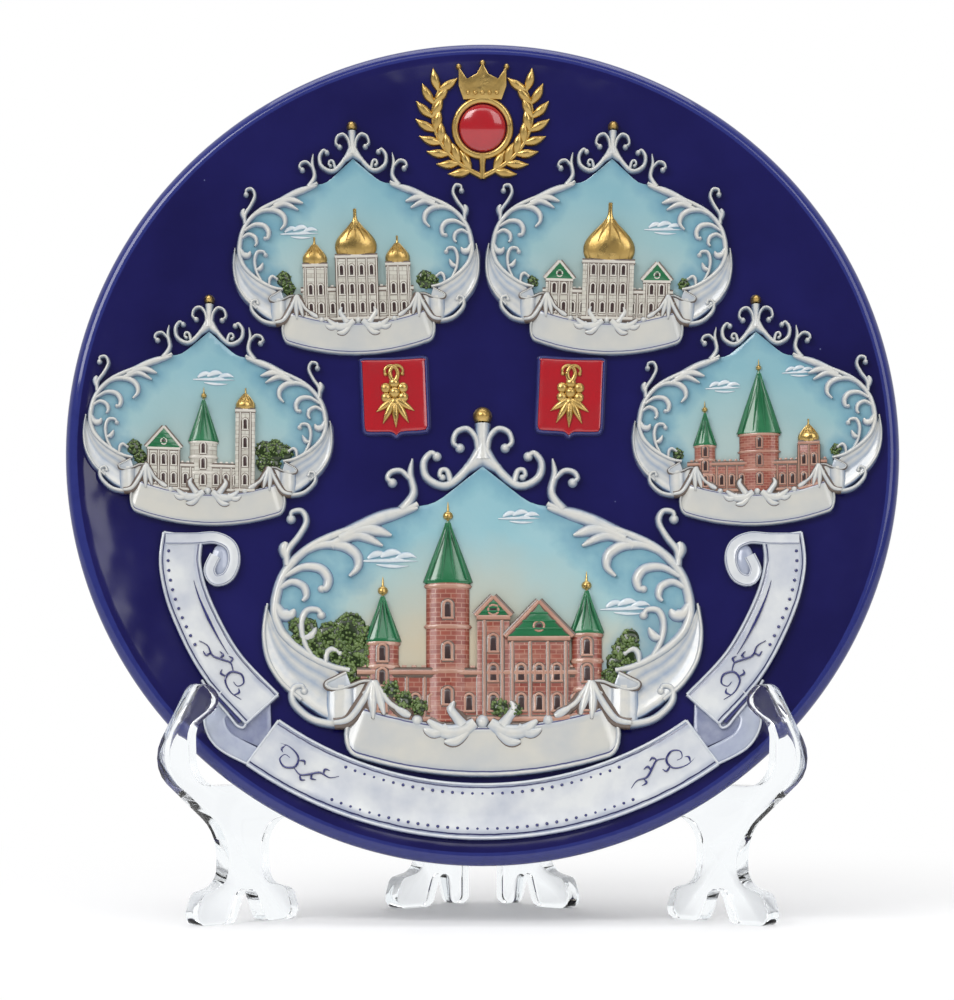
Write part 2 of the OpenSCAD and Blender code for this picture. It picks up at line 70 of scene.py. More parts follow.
# %% Lamps
def soft_panel(name, place, aim, size, watts):
    lamp = bpy.data.objects.new(name, bpy.data.lights.new(name, "AREA"))
    lamp.data.shape = "RECTANGLE"
    lamp.data.size, lamp.data.size_y = size
    lamp.data.energy = watts
    lamp.location = place
    way = np.array(aim) - np.array(place)
    turn = math.atan2(way[1], way[0]) - math.pi / 2
    lamp.rotation_euler = (math.pi / 2 + math.atan2(way[2], math.hypot(way[0], way[1])), 0, turn)
    bpy.context.collection.objects.link(lamp)


soft_panel("Key", (-0.9, -1.1, 1.1), (0, 0, 0.1), (0.9, 0.7), 13)
soft_panel("Fill", (0.84, -1.22, 0.8), (0, 0, 0.1), (0.8, 0.8), 5)
soft_panel("Top", (0.0, 0.1, 1.3), (0, 0, 0.1), (1.2, 0.8), 7)
soft_panel("Sheen", (0.0, -1.0, 1.1), (0, 0, 0.05), (1.5, 0.3), 2.6)
print("lamps:", len(bpy.data.lights))

# %% [markdown]
# Every finish here is a graph of nodes, so two small helpers add a node, set it and wire it. The
# background is plain white for the camera and for what is seen through clear plastic. What the glaze
# mirrors is white behind the plate and dim behind the camera, so that the dark blue keeps its depth.

# %% Background
def feed(tree, node, sockets):
    """Sets each input, by name or number, to a value, or wires it to another node's output."""
    for title, value in sockets.items():
        if isinstance(value, bpy.types.NodeSocket):
            tree.links.new(value, node.inputs[title])
        else:
            node.inputs[title].default_value = value


def add(tree, kind, sockets=None, **settings):
    """New node with its settings and inputs."""
    node = tree.nodes.new(kind)
    for title, value in settings.items():
        setattr(node, title, value)
    feed(tree, node, sockets or {})
    return node


ROOM_DIM, ROOM_FILL = 0.16, 0.5
world = bpy.data.worlds.new("Studio")
bpy.context.scene.world = world
world.use_nodes = True
tree = world.node_tree
rays = add(tree, "ShaderNodeLightPath").outputs
seen = add(tree, "ShaderNodeMath", {0: rays["Is Camera Ray"], 1: rays["Is Transmission Ray"]},
           operation="MAXIMUM")
way = add(tree, "ShaderNodeTexCoord").outputs["Generated"]
depth = add(tree, "ShaderNodeSeparateXYZ", {0: way}).outputs["Y"]
room = add(tree, "ShaderNodeMapRange",
           {"Value": depth, "From Min": -0.5, "From Max": 0.25, "To Min": ROOM_DIM, "To Max": 1.0},
           interpolation_type="SMOOTHSTEP")
mirrored_room = add(tree, "ShaderNodeMix", {0: rays["Is Glossy Ray"], 2: ROOM_FILL, 3: room.outputs[0]})
strength = add(tree, "ShaderNodeMix", {0: seen.outputs[0], 2: mirrored_room.outputs[0], 3: 1.0})
feed(tree, tree.nodes["Background"], {"Color": (1, 1, 1, 1), "Strength": strength.outputs[0]})
print("background nodes:", len(tree.nodes))

# %% [markdown]
# The floor is pale and keeps the object's shadow near the easel. Further out it fades into the white of the
# background, so no horizon shows. A curved backdrop would do the same, but it would also catch shadows.

# %% Floor
FADE_START, FADE_END = 0.04, 0.24
floor_mesh = bpy.data.meshes.new("Floor")
floor_mesh.from_pydata([(-6, -6, 0), (6, -6, 0), (6, 9, 0), (-6, 9, 0)], [], [(0, 1, 2, 3)])
floor = bpy.data.objects.new("Floor", floor_mesh)
bpy.context.collection.objects.link(floor)
pale_floor = bpy.data.materials.new("Pale floor")
pale_floor.use_nodes = True
tree = pale_floor.node_tree
matt = tree.nodes["Principled BSDF"]
feed(tree, matt, {"Base Color": (0.93, 0.93, 0.935, 1), "Roughness": 0.6})
where = add(tree, "ShaderNodeTexCoord").outputs["Object"]
far = add(tree, "ShaderNodeVectorMath", {0: where}, operation="LENGTH").outputs["Value"]
fade = add(tree, "ShaderNodeMapRange", {"Value": far, "From Min": FADE_START, "From Max": FADE_END},
           interpolation_type="SMOOTHSTEP")
glow = add(tree, "ShaderNodeEmission")
blend = add(tree, "ShaderNodeMixShader", {"Fac": fade.outputs[0], 1: matt.outputs[0], 2: glow.outputs[0]})
feed(tree, tree.nodes["Material Output"], {"Surface": blend.outputs[0]})
floor_mesh.materials.append(pale_floor)
print("floor fades out at", FADE_END, "m")

# %% [markdown]
# The face is part of a ball of 420 mm radius, and the plate leans back in its easel. A relief point is
# given as x, y and its height over the face. These two functions are all that knows about the dish and the
# lean.

# %% Face of the plate
MM = 0.001
LEAN = math.radians(10.5)
DISH = 420.0
PLATE_Y, PLATE_Z = -1.487, 110.829


def lay(points):
    """Row places, in metres, of points given as x, y and height over the face in millimetres."""
    x, y, h = np.asarray(points, float).T
    z = DISH - np.sqrt((DISH - h) ** 2 - x * x - y * y)
    return lean(np.c_[x, y, z])


def lean(points):
    """Row places, in metres, of points in the plate's own frame in millimetres."""
    x, y, z = np.asarray(points, float).T
    back = PLATE_Y + y * math.sin(LEAN) - z * math.cos(LEAN)
    up = PLATE_Z + y * math.cos(LEAN) + z * math.sin(LEAN)
    return np.c_[x, back, up] * MM


print("face middle", lay([(0, 0, 0)])[0].round(4))

# %% [markdown]
# A few kinds of node come up in every paint: noise on Object coordinates, a value spread over a new range,
# two colours mixed, and plain sums. Each gets a short function, so that a paint can be read as a recipe.

# %% Words for the recipes
def noise(tree, scale, detail=4.0, stretch=None):
    source = add(tree, "ShaderNodeTexCoord").outputs["Object"]
    if stretch:
        source = add(tree, "ShaderNodeMapping", {"Vector": source, "Scale": stretch}).outputs["Vector"]
    made = add(tree, "ShaderNodeTexNoise", {"Vector": source, "Scale": scale, "Detail": detail})
    return made.outputs["Fac"]


def span(tree, value, low, high, to_low=0.0, to_high=1.0):
    return add(tree, "ShaderNodeMapRange", {"Value": value, "From Min": low, "From Max": high,
                                            "To Min": to_low, "To Max": to_high}).outputs[0]


def mix(tree, factor, first, second):
    return add(tree, "ShaderNodeMix", {0: factor, 6: first, 7: second}, data_type="RGBA").outputs[2]


def sums(tree, kind, *values):
    return add(tree, "ShaderNodeMath", dict(enumerate(values)), operation=kind).outputs[0]


def new_group(name, inputs, outputs):
    """Shader group with named inputs and outputs."""
    tree = bpy.data.node_groups.new(name, "ShaderNodeTree")
    for title, kind, value in inputs:
        socket = tree.interface.new_socket(title, in_out="INPUT", socket_type=kind)
        socket.default_value = value
    for title, kind in outputs:
        tree.interface.new_socket(title, in_out="OUTPUT", socket_type=kind)
    return tree, tree.nodes.new("NodeGroupInput").outputs, tree.nodes.new("NodeGroupOutput")


FLOAT, COLOUR = "NodeSocketFloat", "NodeSocketColor"
WHITE, BLACK = (1, 1, 1, 1), (0, 0, 0, 1)
print("recipe words ready")

# %% [markdown]
# Three shader groups are shared. Fired mottle breaks up a colour the way a hand-painted, fired surface
# does. The second group reads how proud each point of the relief stands and darkens the low places: partly
# the blue glaze that pools there on such plates, partly painted shade in the recesses. Brush streaks drags
# a second colour along one direction.

# %% Shared shader groups
mottle, given, result = new_group(
    "Fired mottle",
    [("Colour", COLOUR, WHITE), ("Second", COLOUR, BLACK), ("Scale", FLOAT, 120.0), ("Amount", FLOAT, 0.3)],
    [("Colour", COLOUR), ("Height", FLOAT), ("Roughness", FLOAT)])
coarse = noise(mottle, given["Scale"], 5.0)
share = sums(mottle, "MULTIPLY", span(mottle, coarse, 0.35, 0.7), given["Amount"])
feed(mottle, result, {"Colour": mix(mottle, share, given["Colour"], given["Second"]),
                      "Height": noise(mottle, 900.0, 2.0),
                      "Roughness": span(mottle, coarse, 0.3, 0.7, 0.1, 0.24)})

wash_and_shade, given, result = new_group(
    "Recess glaze and shade",
    [("Colour", COLOUR, WHITE), ("Wash", COLOUR, BLACK), ("Low", FLOAT, 0.1), ("High", FLOAT, 0.7)],
    [("Colour", COLOUR), ("Mask", FLOAT)])
# Low places take the second colour: pooled blue glaze, and painted shade in the recesses.
proud = add(wash_and_shade, "ShaderNodeAttribute", attribute_name="proud").outputs["Fac"]
ragged = sums(wash_and_shade, "MULTIPLY_ADD", noise(wash_and_shade, 420.0, 5.0), 0.5, proud)
mask = span(wash_and_shade, sums(wash_and_shade, "SUBTRACT", ragged, 0.25), given["Low"], given["High"])
feed(wash_and_shade, result, {"Colour": mix(wash_and_shade, mask, given["Wash"], given["Colour"]), "Mask": mask})

streaks, given, result = new_group(
    "Brush streaks",
    [("Colour", COLOUR, WHITE), ("Second", COLOUR, BLACK), ("Low", FLOAT, 0.45), ("High", FLOAT, 0.7)],
    [("Colour", COLOUR)])
drag = span(streaks, noise(streaks, 260.0, 4.0, (0.35, 1.0, 1.6)), given["Low"], given["High"])
feed(streaks, result, {"Colour": mix(streaks, drag, given["Colour"], given["Second"])})
print("groups:", [group.name for group in bpy.data.node_groups])

# %% [markdown]
# Each paint on the plate is one material. They share the groups, and differ in colour, in how much recess
# colour they take, which is pooled glaze and painted shade, and in gloss. The clear lead glaze over the
# paint is the coat of the Principled shader.

# %% Kinds of paint
COAT_ROUGH = 0.06
GRAIN_DEEP = 0.0002


def new_paint(name, coat=0.5, metallic=0.0):
    material = bpy.data.materials.new(name)
    material.use_nodes = True
    tree = material.node_tree
    shader = tree.nodes["Principled BSDF"]
    feed(tree, shader, {"Coat Weight": coat, "Coat Roughness": COAT_ROUGH, "Metallic": metallic})
    return material, tree, shader


def use(tree, group, **values):
    return add(tree, "ShaderNodeGroup", values, node_tree=group).outputs


def bump(tree, shader, height, strength, distance=GRAIN_DEEP):
    node = add(tree, "ShaderNodeBump", {"Strength": strength, "Distance": distance, "Height": height})
    feed(tree, shader, {"Normal": node.outputs[0]})


def painted(name, colour, second, low_glaze_and_shade, low=0.05, high=0.5, amount=0.35, coat=0.5, scale=160.0,
            grain=0.15):
    """Paint that mottles between two colours and darkens in the recesses, to pooled glaze and painted shade.
    """
    material, tree, shader = new_paint(name, coat)
    first = use(tree, mottle, Colour=colour, Second=second, Scale=scale, Amount=amount)
    then = use(tree, wash_and_shade, Colour=first["Colour"], Wash=low_glaze_and_shade, Low=low, High=high)
    feed(tree, shader, {"Base Color": then["Colour"], "Roughness": first["Roughness"]})
    bump(tree, shader, first["Height"], grain)
    return material


def antiqued(name, colour, second, middle, deep, amount=0.35):
    """Pale paint that turns light blue low on the relief and violet at its foot: pooled glaze and painted
    shade.
    """
    material, tree, shader = new_paint(name, 0.5)
    first = use(tree, mottle, Colour=colour, Second=second, Scale=130.0, Amount=amount)
    half_way = use(tree, wash_and_shade, Colour=first["Colour"], Wash=middle, Low=0.3, High=1.0)
    foot = use(tree, wash_and_shade, Colour=half_way["Colour"], Wash=deep, Low=0.0, High=0.42)
    feed(tree, shader, {"Base Color": foot["Colour"], "Roughness": first["Roughness"]})
    bump(tree, shader, first["Height"], 0.12)
    return material


print("kinds of paint:", painted.__name__, antiqued.__name__)

# %% [markdown]
# These are the colours of the relief. Each recipe names a colour, a second one that it mottles with, and
# the colour of its recesses, partly pooled glaze and partly painted shade. Gold lustre is a metal with a
# little brown in the low places, as painted shade.

# %% Paints
cream_paint = antiqued("Cream relief", (0.56, 0.55, 0.51, 1), (0.44, 0.465, 0.475, 1),
                       (0.19, 0.27, 0.40, 1), (0.045, 0.042, 0.12, 1))
trim_paint = painted("Cream trim", (0.56, 0.535, 0.48, 1), (0.4, 0.365, 0.32, 1), (0.2, 0.13, 0.11, 1),
                     low=-0.2, high=0.5)
rose_paint = painted("Rose trim", (0.42, 0.245, 0.18, 1), (0.28, 0.11, 0.075, 1), (0.13, 0.03, 0.022, 1),
                     low=-0.1, high=0.6, amount=0.6)
leaf_paint = painted("Leaf green", (0.043, 0.088, 0.009, 1), (0.21, 0.29, 0.09, 1), (0.012, 0.026, 0.004, 1),
                     low=0.3, high=0.85, amount=0.6, coat=0.4, scale=600.0)
roof_paint = painted("Roof green", (0.012, 0.12, 0.045, 1), (0.03, 0.2, 0.09, 1), (0.006, 0.04, 0.02, 1),
                     low=0.0, high=0.4)
red_paint = painted("Red enamel", (0.36, 0.006, 0.013, 1), (0.27, 0.004, 0.010, 1), (0.02, 0.01, 0.06, 1),
                    low=0.0, high=0.3, amount=0.4, coat=1.0, scale=200.0, grain=0.05)
dark_paint = painted("Dark openings", (0.035, 0.02, 0.02, 1), (0.08, 0.05, 0.05, 1), (0.02, 0.012, 0.012, 1))
# Painted shade: brown laid round trim, rolls and leaves, where shade falls.
brown_shade_paint = painted("Brown painted shade", (0.10, 0.07, 0.055, 1), (0.2, 0.15, 0.12, 1),
                      (0.06, 0.04, 0.03, 1))
cloud_paint = painted("Cloud white", (0.6, 0.63, 0.64, 1), (0.46, 0.55, 0.58, 1), (0.12, 0.28, 0.42, 1),
                      low=0.2, high=1.0)
clay_paint = painted("Bare clay", (0.6, 0.53, 0.44, 1), (0.48, 0.41, 0.33, 1), (0.6, 0.53, 0.44, 1),
                     low=-1.0, high=-0.5, amount=0.6, coat=0.0, scale=300.0, grain=0.5)
etch_paint = painted("Etched blue", (0.018, 0.02, 0.11, 1), (0.04, 0.05, 0.2, 1), (0.015, 0.018, 0.1, 1))

gold_paint, tree, shader = new_paint("Gold lustre", 0.2, 1.0)
first = use(tree, mottle, Colour=(0.58, 0.40, 0.14, 1), Second=(0.42, 0.26, 0.07, 1), Scale=260.0, Amount=0.6)
# Painted shade: brown in the low places of the gilding.
then = use(tree, wash_and_shade, Colour=first["Colour"], Wash=(0.34, 0.17, 0.04, 1), Low=0.0, High=0.35)
feed(tree, shader, {"Base Color": then["Colour"],
                    "Roughness": span(tree, first["Roughness"], 0.1, 0.24, 0.22, 0.4)})
bump(tree, shader, first["Height"], 0.35)
print("paints:", len(bpy.data.materials))

# %% [markdown]
# The sky of each scene is airbrushed: aqua above and green at the ground, with a warm glow low down behind
# the roofs of the large scene. The field carries its own flat drawing as a UV map, so the gradient follows
# the scene and not the room.

# %% Sky
def ramp(tree, value, stops):
    node = add(tree, "ShaderNodeValToRGB", {"Fac": value})
    node.color_ramp.interpolation = "EASE"
    while len(node.color_ramp.elements) < len(stops):
        node.color_ramp.elements.new(0.5)
    for element, (place, colour) in zip(node.color_ramp.elements, stops):
        element.position = place
        element.color = colour
    return node.outputs["Color"]


def drawn_on(tree):
    return add(tree, "ShaderNodeUVMap", uv_map="Drawing").outputs[0]


def up_drawing(tree):
    return add(tree, "ShaderNodeSeparateXYZ", {0: drawn_on(tree)}).outputs["Y"]


GRASS = [(0.10, (0.05, 0.12, 0.03, 1)), (0.17, (0.15, 0.22, 0.09, 1))]
AIR = (0.23, 0.40, 0.58, 0.9)
GLOW_MIDDLE = (0.46, 0.40, 0.0)


def sprayed_sky(name, tints, warmth):
    """Aqua spray over the green of the ground, with a glow of the given warmth behind the roofs."""
    material, tree, shader = new_paint(name, 0.6)
    wander = sums(tree, "MULTIPLY_ADD", noise(tree, 90.0, 4.0), 0.12, up_drawing(tree))
    air = ramp(tree, wander, GRASS + list(zip(AIR, tints)))
    haze = sums(tree, "MULTIPLY", noise(tree, 120.0, 4.0), 0.14)
    first = use(tree, mottle, Colour=air, Second=(0.38, 0.52, 0.53, 1), Scale=60.0, Amount=0.25)
    far = add(tree, "ShaderNodeVectorMath", {0: drawn_on(tree), 1: GLOW_MIDDLE}, operation="DISTANCE")
    glow = span(tree, sums(tree, "ADD", far.outputs["Value"], haze), 0.16, 0.42, warmth, 0.0)
    warm = mix(tree, glow, first["Colour"], (0.52, 0.40, 0.26, 1))
    # Painted shade: the sky darkens to blue next to the frame's scrolls.
    shaded_near_frame = use(tree, wash_and_shade, Colour=warm, Wash=(0.12, 0.28, 0.38, 1), Low=-0.2, High=0.8)
    feed(tree, shader, {"Base Color": shaded_near_frame["Colour"], "Roughness": first["Roughness"]})
    bump(tree, shader, first["Height"], 0.1)
    return material


dusk_sky = sprayed_sky("Sky enamel", [(0.51, 0.41, 0.28, 1), (0.42, 0.44, 0.37, 1), (0.29, 0.47, 0.50, 1),
                                      (0.22, 0.42, 0.48, 1)], 0.6)
day_sky = sprayed_sky("Day sky enamel", [(0.38, 0.44, 0.41, 1), (0.30, 0.435, 0.45, 1),
                                         (0.235, 0.405, 0.44, 1), (0.195, 0.375, 0.435, 1)], 0.14)
print("skies:", dusk_sky.name, "and", day_sky.name)

# %% [markdown]
# The walls are painted as masonry. Courses come from the flat drawing, so they run level in each scene,
# and the joint colour is dry-brushed over them. The trim over them is modelled, and only the courses are
# paint and bump.

# %% Brick and stone
def walling(name, colour, second, joint, height):
    """Painted masonry of one course height, in units of the drawing."""
    material, tree, shader = new_paint(name, 0.35)
    courses = add(tree, "ShaderNodeTexBrick", {
        "Vector": drawn_on(tree), "Scale": 1.0, "Brick Width": height * 2.2, "Row Height": height,
        "Mortar Size": height * 0.13, "Mortar Smooth": 0.6, "Color1": colour, "Color2": second,
        "Mortar": joint}).outputs
    first = use(tree, mottle, Colour=courses["Color"], Second=second, Scale=300.0, Amount=0.4)
    dry = use(tree, streaks, Colour=first["Colour"], Second=joint, Low=0.52, High=0.8)
    # Painted shade: the walls darken to red-brown at their low edges.
    then = use(tree, wash_and_shade, Colour=dry["Colour"], Wash=(0.12, 0.03, 0.02, 1), Low=-0.1, High=0.25)
    feed(tree, shader, {"Base Color": then["Colour"],
                        "Roughness": span(tree, first["Roughness"], 0.1, 0.24, 0.25, 0.5)})
    bump(tree, shader, courses["Fac"], -0.4)
    return material


brick_paint = walling("Brick red", (0.27, 0.06, 0.034, 1), (0.19, 0.034, 0.021, 1),
                      (0.37, 0.19, 0.135, 1), 0.022)
stone_paint = walling("Pale stone", (0.53, 0.52, 0.465, 1), (0.45, 0.43, 0.37, 1),
                      (0.3, 0.275, 0.24, 1), 0.034)
print("walls:", brick_paint.name, "and", stone_paint.name)

# %% [markdown]
# The cobalt glaze is dark and very glossy, a little uneven in depth, paler where it runs thin over the
# lip, and it has a few pin holes. The easel's plastic is clear with faint scuffs. Its index of refraction
# is set below that of a solid block, because the thin moulding in the photograph bends the background only
# a little.

# %% Glaze and clear plastic
cobalt_paint, tree, shader = new_paint("Cobalt glaze", 0.0)
first = use(tree, mottle, Colour=(0.006, 0.005, 0.058, 1), Second=(0.011, 0.010, 0.098, 1), Scale=35.0,
            Amount=0.7)
thin = use(tree, wash_and_shade, Colour=(0.02, 0.026, 0.15, 1), Wash=first["Colour"], Low=0.5, High=1.0)
where = add(tree, "ShaderNodeTexCoord").outputs["Object"]
cells = add(tree, "ShaderNodeTexVoronoi", {"Vector": where, "Scale": 120.0}).outputs
chance = add(tree, "ShaderNodeSeparateXYZ", {0: cells["Color"]}).outputs["X"]
dot = span(tree, cells["Distance"], 0.012, 0.03, 1.0, 0.0)
pits = sums(tree, "MULTIPLY", dot, sums(tree, "GREATER_THAN", chance, 0.7))
feed(tree, shader, {"Specular IOR Level": 0.5,
                    "Base Color": mix(tree, pits, thin["Colour"], (0.16, 0.18, 0.34, 1)),
                    "Roughness": span(tree, first["Roughness"], 0.1, 0.24, 0.04, 0.1)})
bump(tree, shader, noise(tree, 55.0, 2.0), 0.12, 0.0015)

plastic, tree, shader = new_paint("Clear plastic", 0.0)
feed(tree, shader, {"Base Color": (0.94, 0.965, 0.98, 1), "Transmission Weight": 1.0, "IOR": 1.3,
                    "Roughness": span(tree, noise(tree, 70.0, 6.0), 0.5, 0.8, 0.015, 0.09)})
bump(tree, shader, noise(tree, 25.0, 2.0), 0.05, 0.001)
print("materials:", len(bpy.data.materials))

# %% [markdown]
# All relief starts as lines. A smooth curve runs through drawn points, a closed outline comes from its
# right half, and a curl turns tighter toward its end, as a scroll does. Blender's curve objects could hold
# these, but plain arrays are easier to bend, mirror and lay on the dish.

# %% Lines
def smooth(points, steps=3):
    """Smooth curve through points."""
    p = np.asarray(points, float)
    last = len(p) - 1
    line = []
    for i in range(last):
        a, b, c, d = p[max(i - 1, 0)], p[i], p[i + 1], p[min(i + 2, last)]
        for k in range(steps):
            t = k / steps
            line.append(0.5 * (2 * b + (c - a) * t + (2 * a - 5 * b + 4 * c - d) * t ** 2
                               + (3 * b - a - 3 * c + d) * t ** 3))
    return np.array(line + [p[last]])


def both(points):
    """Closed outline from its right half, top to bottom."""
    p = np.asarray(points, float)
    return np.vstack([p, p[::-1] * (-1, 1)])


def curl(x, y, heading, length, turn, steps=16):
    """Line of a scroll that turns tighter toward its end."""
    angles = np.radians(heading + turn * ((np.arange(steps) + 0.5) / steps) ** 1.5)
    moves = np.c_[np.cos(angles), np.sin(angles)] * length / steps
    return np.vstack([(x, y), (x, y) + np.cumsum(moves, 0)])


def even(points, spacing, closed=True):
    """The line again, with no step longer than spacing."""
    p = np.asarray(points, float)
    out = []
    for i in range(len(p) if closed else len(p) - 1):
        a, b = p[i], p[(i + 1) % len(p)]
        length = np.linalg.norm(b - a)
        if length > 1e-6:
            n = math.ceil(length / spacing)
            out += [a + (b - a) * k / n for k in range(n)]
    if not closed:
        out.append(p[-1])
    return np.array(out)


print("a curl of", len(curl(0, 0, 0, 20, 200)), "points")

# %% [markdown]
# A flat form is an outline filled with triangles. One large face would cut straight across the hollow of
# the dish, so the fill is a constrained triangulation with a grid of points inside, and it can follow the
# dish.

# %% Filled outlines
from mathutils import Vector
from mathutils.geometry import delaunay_2d_cdt


def inside(points, outline):
    """Which points lie in an outline: a ray to the right crosses it an odd number of times."""
    x, y = points.T
    hit = np.zeros(len(points), bool)
    for a, b in zip(outline, np.roll(outline, -1, 0)):
        cross = (a[1] > y) != (b[1] > y)
        rise = b[1] - a[1] if abs(b[1] - a[1]) > 1e-12 else 1e-12
        hit ^= cross & (x < (b[0] - a[0]) * (y - a[1]) / rise + a[0])
    return hit


def fill(outline, spacing):
    """Triangles inside an outline, with a grid of points in it."""
    low, high = outline.min(0), outline.max(0)
    gx, gy = np.meshgrid(np.arange(low[0], high[0], spacing), np.arange(low[1], high[1], spacing))
    grid = np.c_[gx.ravel(), gy.ravel()]
    grid = grid[inside(grid, outline)] if len(grid) else grid
    if len(grid):
        gap = np.min(np.linalg.norm(grid[:, None] - outline[None], axis=2), 1)
        grid = grid[gap > spacing * 0.45]
    points = [Vector(p) for p in np.vstack([outline, grid])]
    edges = [(i, (i + 1) % len(outline)) for i in range(len(outline))]
    made = delaunay_2d_cdt(points, edges, [], 1, 1e-5)
    return np.array([tuple(v) for v in made[0]]), [tuple(f) for f in made[2]]


def inset(outline, gap):
    """The outline moved inward by a gap, with its sharp corners held back."""
    ahead = np.roll(outline, -1, 0) - outline
    ahead /= np.maximum(np.linalg.norm(ahead, axis=1), 1e-9)[:, None]
    behind = np.roll(ahead, 1, 0)
    way = np.c_[-(ahead + behind)[:, 1], (ahead + behind)[:, 0]]
    length = np.maximum(np.linalg.norm(way, axis=1), 0.7)
    return outline + way / length[:, None] * gap * np.clip(2 / length, 1, 1.6)[:, None]


def area(outline):
    x, y = outline.T
    return 0.5 * np.sum(x * np.roll(y, -1) - y * np.roll(x, -1))


def walls_between(rows, around):
    """Quads between closed rings of points that follow each other."""
    return [(k * around + i, k * around + (i + 1) % around, (k + 1) * around + (i + 1) % around,
             (k + 1) * around + i) for k in range(rows - 1) for i in range(around)]


def slab(outline, low, high, edge=0.25, spacing=3.0, crown=0.0):
    """Flat form with a rounded top edge, and a crowned top if wanted."""
    base = even(outline, spacing)
    base = base if area(base) > 0 else base[::-1]
    n = len(base)
    rings = [(base, low), (base, high - edge), (inset(base, edge * 0.3), high - edge * 0.3)]
    rim = inset(base, edge)
    points = np.vstack([np.c_[r, np.full(n, h)] for r, h in rings])
    faces = walls_between(len(rings), n)
    top, tris = fill(rim, spacing)
    height = np.full(len(top), float(high))
    if crown:
        gap = np.min(np.linalg.norm(top[:, None] - rim[None], axis=2), 1)
        height += crown * np.sqrt(np.clip(gap / max(gap.max(), 1e-6), 0, 1))
    start = len(points)
    points = np.vstack([points, np.c_[top, height]])
    match = [start + int(np.argmin(np.sum((top - p) ** 2, 1))) for p in rim]
    faces += [(2 * n + i, 2 * n + (i + 1) % n, match[(i + 1) % n], match[i]) for i in range(n)]
    faces += [tuple(start + v for v in f) for f in tris]
    proud = (points[:, 2] - low) / max(high - low, 1e-6)
    return points, faces, np.clip(proud, 0, 1)


test = slab(both([(0, 10), (10, 0), (0, -10)]), 0.0, 1.0)
print("one slab:", len(test[0]), "points")

# %% [markdown]
# Towers, rolls and domes are half-round forms that lie on the face, as a modeller would press them from
# clay. They are turned from a profile, half way round. Knobs and tree crowns are low mounds.

# %% Half-round forms and mounds
def turned(profile, x, y, base, depth, sides=14):
    """Half-round form on the face: profile gives half width and height up the drawing."""
    profile = np.asarray(profile, float)
    angles = np.linspace(0, math.pi, sides + 1)
    widest = max(profile[:, 0].max(), 1e-6)
    points = []
    for r, up in profile:
        deep = depth * (r / widest) ** 0.8
        points += [(x + r * math.cos(a), y + up, base + deep * math.sin(a)) for a in angles]
    m = sides + 1
    faces = []
    for k in range(len(profile) - 1):
        faces += [(k * m + i, (k + 1) * m + i, (k + 1) * m + i + 1, k * m + i + 1) for i in range(sides)]
        faces.append((k * m, k * m + sides, (k + 1) * m + sides, (k + 1) * m))
    faces.append(tuple(range(m)))
    faces.append(tuple(reversed(range((len(profile) - 1) * m, len(profile) * m))))
    proud = np.tile(np.sin(angles), len(profile))
    return np.array(points), faces, proud


def mound(spot, rx, ry, base, rise, rings=6, sides=18):
    """Low round form on the face, half an egg with a closed foot."""
    x, y = spot
    points, proud = [(x, y, base + rise)], [1.0]
    for k in range(1, rings + 1):
        t = k / rings * math.pi / 2
        for i in range(sides):
            a = 2 * math.pi * i / sides
            points.append((x + rx * math.sin(t) * math.cos(a), y + ry * math.sin(t) * math.sin(a),
                           base + rise * math.cos(t)))
            proud.append(math.cos(t))
    faces = [(0, 1 + i, 1 + (i + 1) % sides) for i in range(sides)]
    for k in range(rings - 1):
        a, b = 1 + k * sides, 1 + (k + 1) * sides
        faces += [(a + i, b + i, b + (i + 1) % sides, a + (i + 1) % sides) for i in range(sides)]
    faces.append(tuple(reversed(range(1 + (rings - 1) * sides, 1 + rings * sides))))
    return np.array(points), faces, np.array(proud)


print("one mound:", len(mound((0, 0), 5, 5, 0, 2)[0]), "points")

# %% [markdown]
# Ribbons are bands between two edge lines. Rows of points lie closer together near the edges, where the
# surface rounds over, and a skirt goes down to the face on both sides. The band's own length and width
# become its UV map.

# %% Bands
HALF_ROWS = [0.28, 0.5, 0.7, 0.86, 0.96, 1.0, 1.0]
BAND_ROWS = [-s for s in reversed(HALF_ROWS)] + [0.0] + HALF_ROWS
EDGE_FROM, EDGE_DROP = 0.86, 0.25


def strip(first, second, top, low, shade=None, foot=0.0):
    """Band between two edge lines. top(t, s) and shade(t, s) run along it and from -1 to 1 across it."""
    first, second = np.asarray(first, float), np.asarray(second, float)
    n, m = len(first), len(BAND_ROWS)
    points, proud, flat = [], [], []
    for i in range(n):
        t = i / (n - 1)
        for j, s in enumerate(BAND_ROWS):
            skirt = j in (0, m - 1)
            drop = EDGE_DROP * max(0.0, (abs(s) - EDGE_FROM) / (1 - EDGE_FROM)) ** 2
            reach = s * (1 + 2 * foot / max(np.linalg.norm(second[i] - first[i]), 0.5)) if skirt else s
            place = (first[i] * (1 - reach) + second[i] * (1 + reach)) / 2
            points.append((place[0], place[1], low if skirt else top(t, s) - drop))
            proud.append(0.0 if skirt else (shade(t, s) if shade else 1.0) - 2.4 * drop)
            flat.append((t, (s + 1) / 2))
    faces = []
    for i in range(n - 1):
        faces += [(i * m + j, (i + 1) * m + j, (i + 1) * m + j + 1, i * m + j + 1) for j in range(m - 1)]
        faces.append((i * m, i * m + m - 1, (i + 1) * m + m - 1, (i + 1) * m))
    faces.append(tuple(range(m)))
    faces.append(tuple(reversed(range((n - 1) * m, n * m))))
    return np.array(points), faces, np.clip(proud, 0, 1), np.array(flat)


def sides_of(line):
    """Unit steps to the left of a line, at each of its points."""
    way = np.gradient(line, axis=0)
    return np.c_[-way[:, 1], way[:, 0]] / np.linalg.norm(way, axis=1)[:, None]


